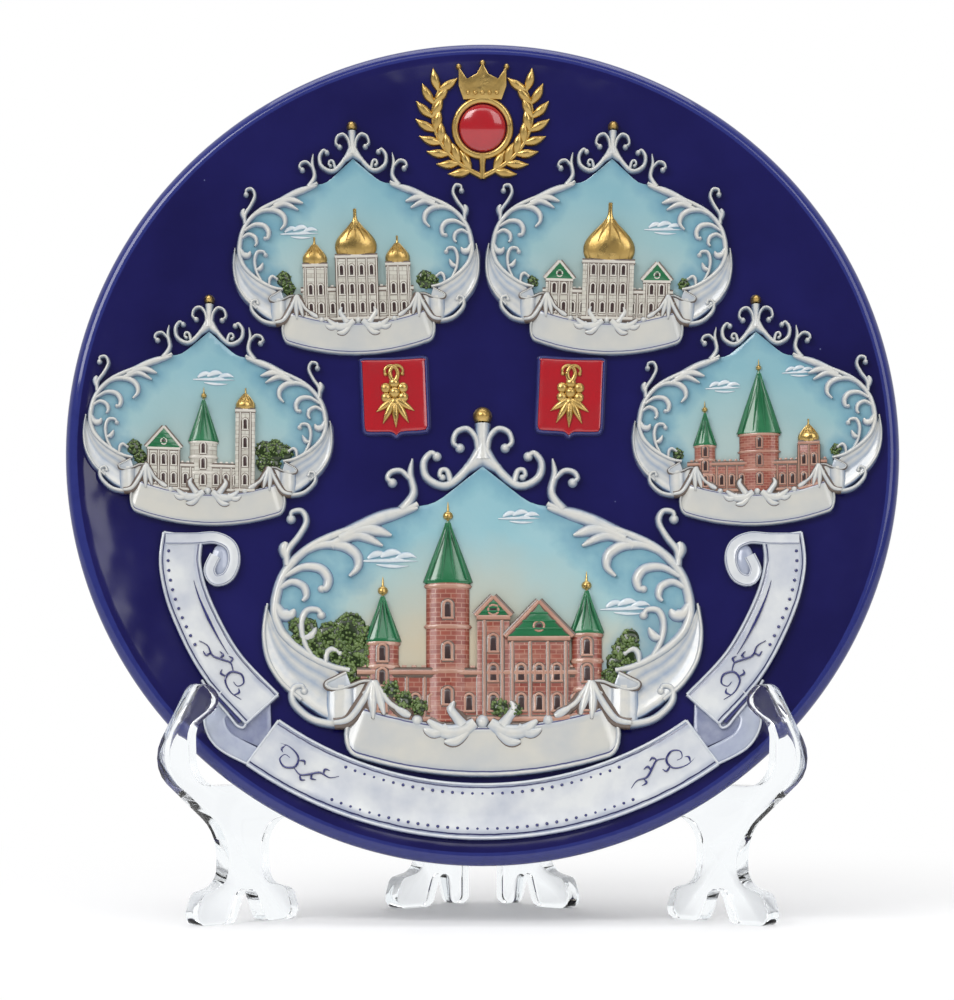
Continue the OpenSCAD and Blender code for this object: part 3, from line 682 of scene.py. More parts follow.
def edges_of(middle, half):
    """The two edge lines of a band of half width along a middle line."""
    line = np.asarray(middle, float)
    half = np.broadcast_to(np.asarray(half, float), (len(line),))[:, None]
    return line - sides_of(line) * half, line + sides_of(line) * half


print("rows across a band:", len(BAND_ROWS))

# %% [markdown]
# A form is kept as plain lists until it is finished: points in millimetres, faces, how proud each point
# stands from 0 to 1, and the flat drawing place for the UV map. Forms of one paint join into one piece,
# which is laid on the dish, cleaned and handed to the frame: the body that it rides on, its finish and the
# nodes it stands for.

# %% From forms to pieces
DRAWING_MM = 30.0


def drawn(place, half):
    """Function that takes a flat design in units of its half width to the face, in millimetres."""
    cx, cy, turn, tall = place
    c, s = math.cos(math.radians(turn)), math.sin(math.radians(turn))

    def to_face(points):
        p = np.atleast_2d(np.asarray(points, float)) * (half, half * tall)
        return np.c_[cx + p[:, 0] * c - p[:, 1] * s, cy + p[:, 0] * s + p[:, 1] * c]
    return to_face


def moved(shape, place, half):
    """A form drawn in half widths, put on the face; heights stay in millimetres."""
    to_face = drawn(place, half)
    return (np.c_[to_face(shape[0][:, :2]), shape[0][:, 2]],) + tuple(shape[1:])


def piece(name, shapes, paint, slot, nodes=(), sharp=40):
    """Joins forms, lays them on the dish and hands the piece to the frame."""
    points, faces, proud, drawing = [], [], [], []
    count = 0
    for shape in shapes:
        points.append(shape[0])
        faces += [tuple(count + v for v in f) for f in shape[1]]
        proud.append(shape[2])
        drawing.append(shape[3] if len(shape) > 3 else shape[0][:, :2] / DRAWING_MM)
        count += len(shape[0])
    mesh = bpy.data.meshes.new(name)
    mesh.from_pydata(lay(np.vstack(points)).tolist(), [], faces)
    # The proud attribute sets the recess colour: pooled glaze and painted shade.
    mesh.attributes.new("proud", "FLOAT", "POINT").data.foreach_set("value", np.concatenate(proud))
    spots = np.vstack(drawing)
    loops = np.empty(len(mesh.loops), int)
    mesh.loops.foreach_get("vertex_index", loops)
    mesh.uv_layers.new(name="Drawing").data.foreach_set("uv", spots[loops].ravel())
    return hand_in(name, mesh, paint, slot, nodes, sharp=sharp)


def hand_in(name, mesh, paint, slot, nodes=(), body="plate", sharp=40):
    """Cleans a mesh, shades it and gives it to a body of the frame."""
    bm = bmesh.new()
    bm.from_mesh(mesh)
    bmesh.ops.remove_doubles(bm, verts=bm.verts, dist=2e-6)
    bmesh.ops.dissolve_degenerate(bm, edges=bm.edges, dist=1e-7)
    bmesh.ops.recalc_face_normals(bm, faces=bm.faces)
    bm.to_mesh(mesh)
    bm.free()
    mesh.shade_smooth()
    mesh.set_sharp_from_angle(angle=math.radians(sharp))
    mesh.materials.clear()
    mesh.materials.append(paint)
    made = bpy.data.objects.new(name, mesh)
    bpy.context.collection.objects.link(made)
    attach(made, body)
    if nodes:
        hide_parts(*nodes)
    return made


print("pieces ride on the body plate unless said otherwise")

# %% [markdown]
# A scroll is a line that gets tighter and thinner, with a rounded section and a small ball where it ends.
# That follows a path, so Geometry Nodes sweep it: each line is a chain of edges with its half width stored
# on it, and the tree turns it into a curve, sweeps a half circle along it and sets a ball on the marked
# ends.

# %% Scroll sweep
def node_tree(name, inputs):
    """Geometry tree with named inputs."""
    tree = bpy.data.node_groups.new(name, "GeometryNodeTree")
    tree.interface.new_socket("Geometry", in_out="INPUT", socket_type="NodeSocketGeometry")
    for title, kind, value in inputs:
        socket = tree.interface.new_socket(title, in_out="INPUT", socket_type=kind)
        if value is not None:
            socket.default_value = value
    tree.interface.new_socket("Geometry", in_out="OUTPUT", socket_type="NodeSocketGeometry")
    return tree, tree.nodes.new("NodeGroupInput").outputs, tree.nodes.new("NodeGroupOutput")


def named(tree, title):
    made = add(tree, "GeometryNodeInputNamedAttribute", {"Name": title}, data_type="FLOAT")
    return made.outputs["Attribute"]


def place_parts(tree):
    place = add(tree, "GeometryNodeInputPosition").outputs[0]
    return add(tree, "ShaderNodeSeparateXYZ", {0: place}).outputs


def marked(tree, geometry, value):
    """Geometry with the proud attribute stored on its points."""
    return add(tree, "GeometryNodeStoreNamedAttribute",
               {"Geometry": geometry, "Name": "proud", "Value": value},
               data_type="FLOAT", domain="POINT").outputs[0]


def scattered(tree, **sockets):
    """Instances on points, made real, because the export drops instances."""
    many = add(tree, "GeometryNodeInstanceOnPoints", sockets)
    return add(tree, "GeometryNodeRealizeInstances", {"Geometry": many.outputs[0]}).outputs[0]


def coated(tree, result, geometry, paint):
    """Last step of a tree: the paint."""
    coat = add(tree, "GeometryNodeSetMaterial", {"Geometry": geometry, "Material": paint})
    feed(tree, result, {"Geometry": coat.outputs[0]})


INT, PAINT = "NodeSocketInt", "NodeSocketMaterial"
sweep, given, result = node_tree("Scroll sweep", [
    ("Sides", INT, 9), ("Stilt", FLOAT, 1.0), ("Rise", FLOAT, 1.0), ("Foot", FLOAT, 0.0),
    ("Paint", PAINT, None)])
line = add(sweep, "GeometryNodeMeshToCurve", {"Mesh": given["Geometry"]})
wide = add(sweep, "GeometryNodeSetCurveRadius", {"Curve": line.outputs[0], "Radius": named(sweep, "wide")})
upright = add(sweep, "GeometryNodeSetCurveNormal", {"Curve": wide.outputs[0]}, mode="Z_UP")
arc = add(sweep, "GeometryNodeCurveArc", {"Resolution": given["Sides"], "Radius": 1.0, "Start Angle": 0.0,
                                          "Sweep Angle": math.pi}, mode="RADIUS")
spot = place_parts(sweep)
under = sums(sweep, "POWER", sums(sweep, "SUBTRACT", 1.0, spot["Y"]), 3.0)
splay = sums(sweep, "ADD", sums(sweep, "MULTIPLY", under, given["Foot"]), 1.0)
flared = add(sweep, "ShaderNodeCombineXYZ", {"X": sums(sweep, "MULTIPLY", spot["X"], splay), "Y": spot["Y"]})
profile = add(sweep, "GeometryNodeSetPosition", {"Geometry": marked(sweep, arc.outputs["Curve"], spot["Y"]),
                                                 "Position": flared.outputs[0]})
body = add(sweep, "GeometryNodeCurveToMesh", {
    "Curve": upright.outputs[0], "Profile Curve": profile.outputs[0], "Scale": named(sweep, "wide"),
    "Fill Caps": True})
tall = sums(sweep, "MULTIPLY", named(sweep, "wide"), given["Rise"])
tall = sums(sweep, "ADD", tall, given["Stilt"])
tall = sums(sweep, "MULTIPLY", tall, sums(sweep, "POWER", named(sweep, "proud"), 0.6))
raised = add(sweep, "ShaderNodeCombineXYZ", {"X": spot["X"], "Y": spot["Y"], "Z": tall})
lift = add(sweep, "GeometryNodeSetPosition", {"Geometry": body.outputs[0], "Position": raised.outputs[0]})
knob = add(sweep, "GeometryNodeMeshUVSphere", {"Segments": 14, "Rings": 8}).outputs["Mesh"]
ball = named(sweep, "ball")
deep = sums(sweep, "ADD", sums(sweep, "MULTIPLY", ball, given["Rise"]), given["Stilt"])
size = add(sweep, "ShaderNodeCombineXYZ", {"X": ball, "Y": ball, "Z": deep}).outputs[0]
tops = marked(sweep, knob, sums(sweep, "MAXIMUM", spot["Z"], 0.0))
balls = scattered(sweep, Points=given["Geometry"], Instance=tops, Selection=ball, Scale=size)
joined = add(sweep, "GeometryNodeJoinGeometry", {0: lift.outputs[0]})
feed(sweep, joined, {0: balls})
coated(sweep, result, joined.outputs[0], given["Paint"])
print("sweep nodes:", len(sweep.nodes))

# %% [markdown]
# A tree is used on a seed mesh, and its result is read back as a plain form. So swept lines can be joined
# with slabs and bands before they are laid on the dish, and no modifier is left on a piece.

# %% Swept lines
def grown(mesh, tree, **values):
    """Plain form from a geometry tree: points, faces and the proud attribute."""
    seed = bpy.data.objects.new("Seed", mesh)
    bpy.context.collection.objects.link(seed)
    modifier = seed.modifiers.new("Grow", "NODES")
    modifier.node_group = tree
    for item in tree.interface.items_tree:
        if item.in_out == "INPUT" and item.name in values:
            modifier[item.identifier] = values[item.name]
    ready = seed.evaluated_get(bpy.context.evaluated_depsgraph_get())
    plain = bpy.data.meshes.new_from_object(ready)
    points = np.empty(len(plain.vertices) * 3)
    plain.vertices.foreach_get("co", points)
    faces = [tuple(f.vertices) for f in plain.polygons]
    proud = np.zeros(len(plain.vertices))
    if "proud" in plain.attributes:
        plain.attributes["proud"].data.foreach_get("value", proud)
    bpy.data.objects.remove(seed)
    bpy.data.meshes.remove(plain)
    return points.reshape(-1, 3), faces, proud


def chains(lines):
    """Mesh of edge chains. Each line gives its points, half widths and the radius of its end ball."""
    points, edges, wide, ball = [], [], [], []
    for line, half, end in lines:
        start = len(points)
        line = np.asarray(line, float)
        points += [(p[0], p[1], 0.0) for p in line]
        edges += [(start + i, start + i + 1) for i in range(len(line) - 1)]
        wide += list(np.broadcast_to(np.asarray(half, float), (len(line),)))
        ball += [0.0] * (len(line) - 1) + [end]
    mesh = bpy.data.meshes.new("Chains")
    mesh.from_pydata(points, edges, [])
    mesh.attributes.new("wide", "FLOAT", "POINT").data.foreach_set("value", wide)
    mesh.attributes.new("ball", "FLOAT", "POINT").data.foreach_set("value", ball)
    return mesh


def beads(lines, low, stilt, rise, paint, sides=9, foot=0.0):
    """Swept scrolls on the face, from height low."""
    values = {"Sides": sides, "Stilt": stilt, "Rise": rise, "Foot": foot, "Paint": paint}
    points, faces, proud = grown(chains(lines), sweep, **values)
    points[:, 2] = low + np.maximum(points[:, 2], 0)
    return points, faces, np.clip(proud, 0, 1)


test = beads([(curl(0, 0, 0, 20, 200), 1.0, 1.4)], 0.0, 0.5, 1.0, cream_paint)
print("one scroll:", len(test[0]), "points, height", test[0][:, 2].max().round(2))

# %% [markdown]
# The plate itself is thrown or pressed as one dished disc with a rounded lip. A lathe of its half section
# gives that exactly, and a fine one keeps the long reflections in the glaze smooth. The glaze runs thin
# over the lip, so the lip is marked as proud and shows a lighter blue.

# %% Plate body
LIP_R, LIP_Z, LIP_ROUND, LIP_TURN = 97.5, 8.90, 2.5, math.radians(13.343)
BACK_DISH = 425
THIN_FROM, THIN_OVER = 95.6, 4.0
AROUND = 240


def thinning(r):
    return max(0.0, (r - THIN_FROM) / THIN_OVER)


section = []
for a in np.linspace(0, LIP_TURN, 60):
    section.append((DISH * math.sin(a), DISH - DISH * math.cos(a)))
section = [(r, z, thinning(r)) for r, z in section]
for a in np.radians(np.arange(84, -85, -7)) + LIP_TURN:
    section.append((LIP_R + LIP_ROUND * math.cos(a), LIP_Z + LIP_ROUND * math.sin(a), 1.0))
for a in np.linspace(LIP_TURN, 0, 40):
    r = BACK_DISH * math.sin(a)
    section.append((r, DISH - BACK_DISH * math.cos(a), thinning(r)))
points, proud = [], []
for r, z, thin in section[1:-1]:
    for a in 2 * math.pi * np.arange(AROUND) / AROUND:
        points.append((r * math.cos(a), r * math.sin(a), z))
        proud.append(thin)
rows = len(section) - 2
faces = walls_between(rows, AROUND)
for end, row in ((section[0], 0), (section[-1], rows - 1)):
    points.append((0.0, 0.0, end[1]))
    proud.append(0.0)
    faces += [(len(points) - 1, row * AROUND + i, row * AROUND + (i + 1) % AROUND) for i in range(AROUND)]
mesh = bpy.data.meshes.new("Plate")
mesh.from_pydata(lean(points).tolist(), [], faces)
mesh.attributes.new("proud", "FLOAT", "POINT").data.foreach_set("value", proud)
hand_in("Plate", mesh, cobalt_paint, "cobalt_glaze", ["plate_body"])
for name in ("foot_ring", "left_hang_arc", "right_hang_arc"):
    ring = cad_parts[name]
    ring.data.materials.clear()
    ring.data.materials.append(clay_paint)
print("plate:", len(mesh.vertices), "points")

# %% [markdown]
# Each scene is one drawing in units of its half width, used five times at two sizes. The four small ones
# are a tenth taller. The same values stand in the solid model, so a finished piece covers the solid that
# it stands for.

# %% Drawings of the scenes
FIELD_HALF = [(0, 0.87), (0.1, 0.79), (0.22, 0.7), (0.34, 0.67), (0.55, 0.59), (0.78, 0.49), (0.91, 0.36),
              (0.96, 0.19), (0.96, 0), (0.9, -0.12), (0.8, -0.22), (0.62, -0.32)]
GROUND = -0.34
FLAT, GABLE, CONE, DOMED = range(4)
# Blocks of a building: middle, width, height, kind of roof and how thick it stands
MAIN = [(-0.02, 1.08, 0.24, FLAT, 0.7), (-0.16, 0.2, 0.66, CONE, 1.2), (0.26, 0.28, 0.4, GABLE, 1),
        (0.48, 0.14, 0.42, CONE, 1.3), (-0.46, 0.15, 0.38, CONE, 1.1), (0.05, 0.15, 0.5, GABLE, 0.9)]
VILLA = [(0, 0.9, 0.24, FLAT, 0.8), (0, 0.34, 0.48, DOMED, 1.2), (-0.34, 0.2, 0.42, DOMED, 1),
         (0.34, 0.2, 0.42, DOMED, 1)]
ROTUNDA = [(0, 1.04, 0.22, FLAT, 0.8), (0, 0.42, 0.44, DOMED, 1.3), (-0.4, 0.22, 0.3, GABLE, 1),
           (0.4, 0.22, 0.3, GABLE, 1)]
HARBOUR = [(-0.1, 0.8, 0.2, FLAT, 0.8), (0.3, 0.16, 0.62, DOMED, 1.2), (-0.36, 0.26, 0.32, GABLE, 1),
           (-0.04, 0.22, 0.38, CONE, 1.1)]
GATE = [(0, 1.1, 0.22, FLAT, 0.8), (0.02, 0.32, 0.44, CONE, 1.3), (-0.42, 0.17, 0.36, CONE, 1.1),
        (0.42, 0.17, 0.36, DOMED, 1.1)]
# Scenes: place (x, y, turn and stretch), half width, building, paint of its walls and their slot
SCENES = {
    "main": ((0, -47.6, 0, 1.0), 52.0, MAIN, brick_paint, "brick_red"),
    "villa": ((-30.4, 43.8, 2, 1.1), 29.4, VILLA, stone_paint, "cream_relief"),
    "rotunda": ((30.4, 43.8, -2, 1.1), 29.4, ROTUNDA, stone_paint, "cream_relief"),
    "harbour": ((-65.89, 1.4, 0, 1.1), 29.4, HARBOUR, stone_paint, "cream_relief"),
    "gate": ((65.89, 1.4, 0, 1.1), 29.4, GATE, brick_paint, "brick_red"),
}
# Heights over the face, in millimetres
FIELD_TOP, FRAME_TOP, RIBBON_TOP, WALL = 1.0, 2.4, 2.8, 1.4
SEAT = 0.02
print("scenes:", list(SCENES))

# %% [markdown]
# The frame is drawn as lines. Its border runs down the side and turns in along a hollow shell, and commas,
# lobed leaves and hooked scrolls grow from it. Each line has a width at every point: thin, swelling and
# thin again.

# %% Lines of a frame
BORDER = [(0.3, 0.69), (0.34, 0.67), (0.55, 0.59), (0.78, 0.49), (0.91, 0.36), (0.955, 0.2), (0.935, 0.1),
          (0.88, 0.03), (0.8, -0.03), (0.7, -0.08), (0.61, -0.1)]
# Lines of the right half: points, first, middle and last half width, radius of the ball at the end
FRAME_LINES = [
    ([(0.01, 0.95), (0.06, 0.87), (0.14, 0.79), (0.2, 0.78), (0.262, 0.82), (0.273, 0.885), (0.24, 0.93),
      (0.212, 0.915)], 0.022, 0.017, 0.011, 0.018),
    ([(0.147, 0.79), (0.163, 0.845), (0.19, 0.85), (0.198, 0.826), (0.185, 0.815)],
     0.016, 0.012, 0.01, 0.014),
    ([(0.02, 0.93), (0.03, 1.0), (0.07, 1.045), (0.12, 1.03), (0.135, 0.98), (0.105, 0.955)],
     0.014, 0.013, 0.01, 0.018),
    ([(0.37, 0.66), (0.32, 0.74), (0.335, 0.83), (0.325, 0.9)], 0.026, 0.016, 0.005, 0.0),
    ([(0.33, 0.8), (0.376, 0.845), (0.422, 0.84), (0.44, 0.81), (0.418, 0.79)], 0.011, 0.013, 0.01, 0.018),
    ([(0.9, 0.39), (0.9, 0.46), (0.85, 0.53), (0.815, 0.6), (0.835, 0.65), (0.88, 0.645), (0.885, 0.612)],
     0.018, 0.014, 0.01, 0.018),
    ([(0.9, 0.42), (0.915, 0.47), (0.905, 0.5)], 0.014, 0.024, 0.012, 0.0),
    ([(0.62, 0.55), (0.5, 0.61), (0.4, 0.645), (0.3, 0.67)], 0.03, 0.03, 0.007, 0.0),
    ([(0.66, 0.52), (0.54, 0.57), (0.42, 0.54)], 0.03, 0.032, 0.006, 0.0),
    ([(0.7, 0.49), (0.58, 0.54), (0.46, 0.49)], 0.024, 0.026, 0.006, 0.0),
    ([(0.85, 0.44), (0.75, 0.49), (0.65, 0.49), (0.585, 0.45), (0.575, 0.39), (0.615, 0.345)],
     0.012, 0.026, 0.008, 0.0),
    ([(0.91, 0.34), (0.83, 0.385), (0.75, 0.38), (0.713, 0.335), (0.72, 0.29), (0.742, 0.284)],
     0.012, 0.024, 0.012, 0.016),
    ([(0.94, 0.28), (0.88, 0.315), (0.825, 0.295), (0.812, 0.25), (0.83, 0.225)], 0.012, 0.02, 0.008, 0.0),
    ([(0.955, 0.22), (0.925, 0.165), (0.885, 0.16), (0.865, 0.185)], 0.012, 0.03, 0.008, 0.0),
    ([(0.78, -0.04), (0.82, 0.035), (0.833, 0.12), (0.81, 0.18), (0.76, 0.185), (0.742, 0.16)],
     0.013, 0.017, 0.012, 0.018),
    ([(0.822, 0.05), (0.79, 0.06), (0.765, 0.1)], 0.01, 0.022, 0.005, 0.0),
    ([(0.72, -0.07), (0.715, -0.02), (0.69, 0.0), (0.655, -0.02)], 0.011, 0.017, 0.009, 0.013),
    ([(0.62, -0.345), (0.7, -0.35), (0.79, -0.325), (0.865, -0.255), (0.868, -0.19), (0.83, -0.175),
      (0.818, -0.2)], 0.02, 0.017, 0.011, 0.017),
    ([(0.99, 0.21), (1.005, 0.08), (0.985, -0.05), (0.92, -0.16), (0.83, -0.24)], 0.006, 0.012, 0.012, 0.0),
]


def mirrored(line):
    return np.asarray(line, float) * (-1, 1)


def swelling(points, first, middle, last, end, steps=6):
    """Smooth line whose half width goes from first over middle to last."""
    line = smooth(points, steps)
    t = np.linspace(0, 1, len(line))
    wide = np.where(t < 0.5, first + (middle - first) * np.sin(math.pi * t),
                    last + (middle - last) * np.sin(math.pi * t))
    return line, wide, end


def both_sides(lines):
    return lines + [(mirrored(path), wide, end) for path, wide, end in lines]


def on_face(lines, to_face, half, ball=1.0):
    """Lines drawn in half widths, taken to the face with their widths and end balls."""
    return [(to_face(path), np.asarray(wide) * half, end * half * ball) for path, wide, end in lines]


frame_lines = [swelling(BORDER, 0.014, 0.022, 0.016, 0.0)]
frame_lines = both_sides(frame_lines + [swelling(*entry) for entry in FRAME_LINES])
print("lines in a frame:", len(frame_lines))

# %% [markdown]
# The sky field is a shallow raised panel under everything else. Each of its points keeps how far it lies
# from the frame, so that painted shade can darken the sky along the scrolls. Clouds are small bundles of
# pointed strokes.

# %% Sky fields and clouds
# Strokes of a cloud: start, length, half width, heading and bend
CLOUD = [(-0.13, -0.012, 0.26, 0.011, 2, -4), (-0.1, 0.0, 0.1, 0.018, 40, -80),
         (-0.04, 0.008, 0.11, 0.02, 35, -75), (0.03, 0.004, 0.1, 0.017, 25, -60),
         (-0.06, -0.028, 0.15, 0.01, -8, 16), (-0.01, -0.006, 0.09, 0.01, 10, -30)]
# Clouds of each scene: middle and size
CLOUDS = {"main": [(-0.43, 0.43, 1.0), (0.17, 0.63, 0.75), (0.66, 0.2, 0.9)], "villa": [(-0.46, 0.33, 1.2)],
          "rotunda": [(0.44, 0.36, 1.2)], "harbour": [(0.04, 0.52, 1.3)],
          "gate": [(-0.27, 0.46, 1.1), (0.34, 0.56, 1.0)]}
SHADE_FROM, SHADE_OVER = 0.01, 0.14


def petal(start, heading, length, widest, bend=20, steps=9):
    """Leaf that swells and then tapers."""
    line = curl(start[0], start[1], heading, length, bend, steps)
    t = np.linspace(0, 1, len(line))
    return line, widest * np.clip(np.sin(math.pi * (0.12 + 0.86 * t)), 0.08, 1), 0.0


spots = np.vstack([path for path, wide, end in frame_lines])
outline = both(np.vstack([smooth(FIELD_HALF), (0.0, -0.4)]))
for name, (place, half, blocks, walls, slot) in SCENES.items():
    to_face = drawn(place, half)
    shape = slab(to_face(outline), 0.0, FIELD_TOP, 0.2, 0.03 * half + 0.5)
    local = (shape[0][:, :2] - place[:2]) / (half, half * place[3])
    gap = np.min(np.linalg.norm(local[:, None] - spots[None], axis=2), 1)
    drawing = np.c_[local[:, 0] * 0.5 + 0.5, (local[:, 1] + 0.45) / 1.35]
    # Painted shade: points near the frame's lines read low, so the sky darkens there.
    field = (shape[0], shape[1], np.clip((gap - SHADE_FROM) / SHADE_OVER, 0, 1), drawing)
    sky = dusk_sky if name == "main" else day_sky
    piece(name + "_sky", [field], sky, "sky_enamel", [name + "_field"])
    strokes = []
    for x, y, size in CLOUDS[name]:
        for dx, dy, long, wide, heading, bend in CLOUD:
            start = (x + dx * size, y + dy * size)
            strokes.append(petal(start, heading, long * size, wide * size, bend))
    puffs = beads(on_face(strokes, to_face, half), FIELD_TOP - 0.05, 0.2, 0.3, cloud_paint, 7)
    piece(name + "_clouds", [puffs], cloud_paint, "cream_relief", sharp=60)
print("fields:", len(SCENES))

# %% [markdown]
# The frame needs the most skill on the real mould. One Geometry Nodes sweep makes all its lines, with a
# foot that flares out where the glaze gathers. The shell in each lower corner is a band between two edges
# with grooves, and the stem at the top carries the gilt knob.

# %% Scrolled frames
SHELL_IN = [(0.6, -0.17), (0.7, -0.08), (0.8, -0.03), (0.88, 0.03), (0.95, 0.11), (0.995, 0.2)]
SHELL_OUT = [(0.62, -0.36), (0.74, -0.31), (0.84, -0.24), (0.93, -0.16), (0.99, -0.05), (1.01, 0.08),
             (1.0, 0.2)]
GROOVES, GROOVE_WIDE = (-0.45, -0.05, 0.4), 0.09
STEM = [([(0, 0.9), (0, 0.935), (0, 0.98), (0, 1.07)], [0.055, 0.036, 0.025, 0.03], 0.0),
        ([(-0.075, 0.855), (0, 0.915), (0.075, 0.855)], [0.02, 0.042, 0.02], 0.0)]


def along(points, count):
    """A smooth line again, with evenly spaced points."""
    line = smooth(points, 8)
    far = np.r_[0, np.cumsum(np.linalg.norm(np.diff(line, axis=0), axis=1))]
    t = np.linspace(0, far[-1], count)
    return np.c_[np.interp(t, far, line[:, 0]), np.interp(t, far, line[:, 1])]


def grooved(t, s):
    """Shade of the shell: darker in its three grooves."""
    dips = sum(math.exp(-((s - where) / GROOVE_WIDE) ** 2) for where in GROOVES)
    return 0.95 - 0.55 * dips * math.sin(math.pi * min(1.0, t * 1.1)) ** 0.5


def hollow(t, s):
    """Height of the shell: low in its middle and in its grooves."""
    return 1.3 + 0.5 * s * s - 0.15 * (1 - grooved(t, s))


for name, (place, half, blocks, walls, slot) in SCENES.items():
    to_face = drawn(place, half)
    lines = on_face(frame_lines + STEM, to_face, half, 1.35)
    forms = [beads(lines, SEAT, FRAME_TOP - SEAT - 0.006 * half, 0.25, cream_paint, 13, 0.3)]
    for sign in (-1, 1):
        inner, outer = along(SHELL_IN, 30) * (sign, 1), along(SHELL_OUT, 30) * (sign, 1)
        forms.append(strip(to_face(inner), to_face(outer), hollow, SEAT, grooved, 0.5)[:3])
    made = piece(name + "_scrolls", forms, cream_paint, "cream_relief", [name + "_frame"], sharp=60)
print("last frame:", len(made.data.polygons), "faces")

# %% [markdown]
# Under each scene lies a bare ribbon, a strip along an arc that is rounded off at its ends. Its enamel is
# pale and shades to blue toward the edges, with one thin etched line along each, so it reads the band's
# own UV map.

# %% Ribbons
def bordered(name, line, colour, second, deep):
    """Pale band that shades to blue toward its edges, with one etched line along each."""
    material, tree, shader = new_paint(name, 0.5)
    away = sums(tree, "ABSOLUTE", sums(tree, "SUBTRACT", up_drawing(tree), 0.5))
    first = use(tree, mottle, Colour=colour, Second=second, Scale=110.0, Amount=0.45)
    cloudy = sums(tree, "MULTIPLY", noise(tree, 150.0, 4.0), 0.22)
    edge = span(tree, sums(tree, "ADD", away, cloudy), 0.44, 0.64)
    shaded = mix(tree, edge, first["Colour"], second)
    shaky = sums(tree, "MULTIPLY", noise(tree, 380.0, 3.0), 0.03)
    gap = sums(tree, "ABSOLUTE", sums(tree, "SUBTRACT", sums(tree, "ADD", away, shaky), line + 0.015))
    ink = span(tree, gap, 0.008, 0.02, 1.0, 0.0)
    inked = mix(tree, ink, shaded, deep)
    foot = use(tree, wash_and_shade, Colour=inked, Wash=deep, Low=-0.1, High=0.45)
    feed(tree, shader, {"Base Color": foot["Colour"], "Roughness": first["Roughness"]})
    bump(tree, shader, ink, -0.25)
    return material


def arc_line(middle, radius, first, last, steps):
    a = np.radians(np.linspace(first, last, steps))
    return np.c_[middle[0] + radius * np.cos(a), middle[1] + radius * np.sin(a)]


def draped(t, s):
    """Height of the ribbon: it turns down toward its rolled ends."""
    return RIBBON_TOP - 0.25 - 0.25 * s - 1.3 * max(0.0, (abs(2 * t - 1) - 0.84) / 0.16) ** 2


ribbon_paint = bordered("Ribbon enamel", 0.455, (0.52, 0.51, 0.465, 1), (0.33, 0.365, 0.42, 1),
                        (0.05, 0.05, 0.15, 1))
# Middle of the ribbon's arc, the radii of its top and lower edges, and its two ends in degrees
ARC_Y, ARC_IN, ARC_OUT, ARC_ENDS = 1.36, 1.725, 1.945, (-110, -70)
ALONG = 81
ends = np.abs(np.linspace(-1, 1, ALONG))
narrow = np.sqrt(np.clip(1 - (np.maximum(ends - 0.86, 0) / 0.15) ** 2, 0.02, 1))[:, None]
ribbon_top = arc_line((0, ARC_Y), ARC_IN, *ARC_ENDS, ALONG)
ribbon_low = ribbon_top + (arc_line((0, ARC_Y), ARC_OUT, *ARC_ENDS, ALONG) - ribbon_top) * narrow
for name, (place, half, blocks, walls, slot) in SCENES.items():
    to_face = drawn(place, half)
    band = strip(to_face(ribbon_top), to_face(ribbon_low), draped, SEAT, None, 0.4)
    piece(name + "_ribbon", [band], ribbon_paint, "cream_relief", [name + "_ribbon"], sharp=50)
print("ribbons:", len(SCENES))

# %% [markdown]
# Each end of a ribbon is rolled: its top edge runs in an S over two half-round rolls and ends in a curl. A
# leafy valance lies along the top edge. Painted brown shade lies round both, as a wider and lower copy of
# the same lines, and the hollow mouths of the rolls are painted darker, as shade.

# %% Rolls and valance
VALANCE = [
    ([(0.035, -0.345), (0.1, -0.385), (0.18, -0.385), (0.25, -0.335)], 0.03, 0.042, 0.012, 0.0),
    ([(0.09, -0.36), (0.12, -0.32), (0.145, -0.28), (0.13, -0.245)], 0.036, 0.026, 0.007, 0.0),
    ([(0.06, -0.375), (0.12, -0.43), (0.175, -0.435)], 0.02, 0.03, 0.008, 0.0),
    ([(0.16, -0.37), (0.22, -0.395), (0.27, -0.375)], 0.03, 0.03, 0.008, 0.0),
    ([(0.33, -0.315), (0.36, -0.3), (0.4, -0.275)], 0.012, 0.024, 0.012, 0.0),
    ([(0.38, -0.285), (0.43, -0.25), (0.47, -0.19), (0.5, -0.15)], 0.014, 0.016, 0.014, 0.0),
    ([(0.495, -0.15), (0.475, -0.22), (0.45, -0.31)], 0.02, 0.026, 0.007, 0.0),
    ([(0.5, -0.15), (0.505, -0.23), (0.5, -0.33)], 0.018, 0.026, 0.007, 0.0),
    ([(0.505, -0.16), (0.545, -0.24), (0.61, -0.33), (0.68, -0.35)], 0.018, 0.02, 0.014, 0.0),
]
# Beads of the valance: two points a hair apart, half width, radius of the ball
PEARLS = [([(0, -0.35), (0, -0.34)], [0.01, 0.01], 0.038)]
PEARLS += [([(x, -0.34), (x, -0.335)], [0.01, 0.01], 0.032) for x in (-0.3, 0.3)]
# Rolls of the right end: middle, half width, foot, top and height over the field
ROLLS = ((0.648, 0.07, -0.345, -0.17, 1.6), (0.548, 0.066, -0.385, -0.165, 1.25))
ROLL_SEAT = 0.9
# Top edge of the rolled end, from the frame's border to the middle of the curl
EDGE = [(0.625, -0.112), (0.674, -0.138), (0.716, -0.162), (0.706, -0.184), (0.66, -0.19), (0.603, -0.172),
        (0.552, -0.152), (0.505, -0.154), (0.484, -0.178), (0.498, -0.212), (0.529, -0.226), (0.547, -0.21),
        (0.533, -0.194)]
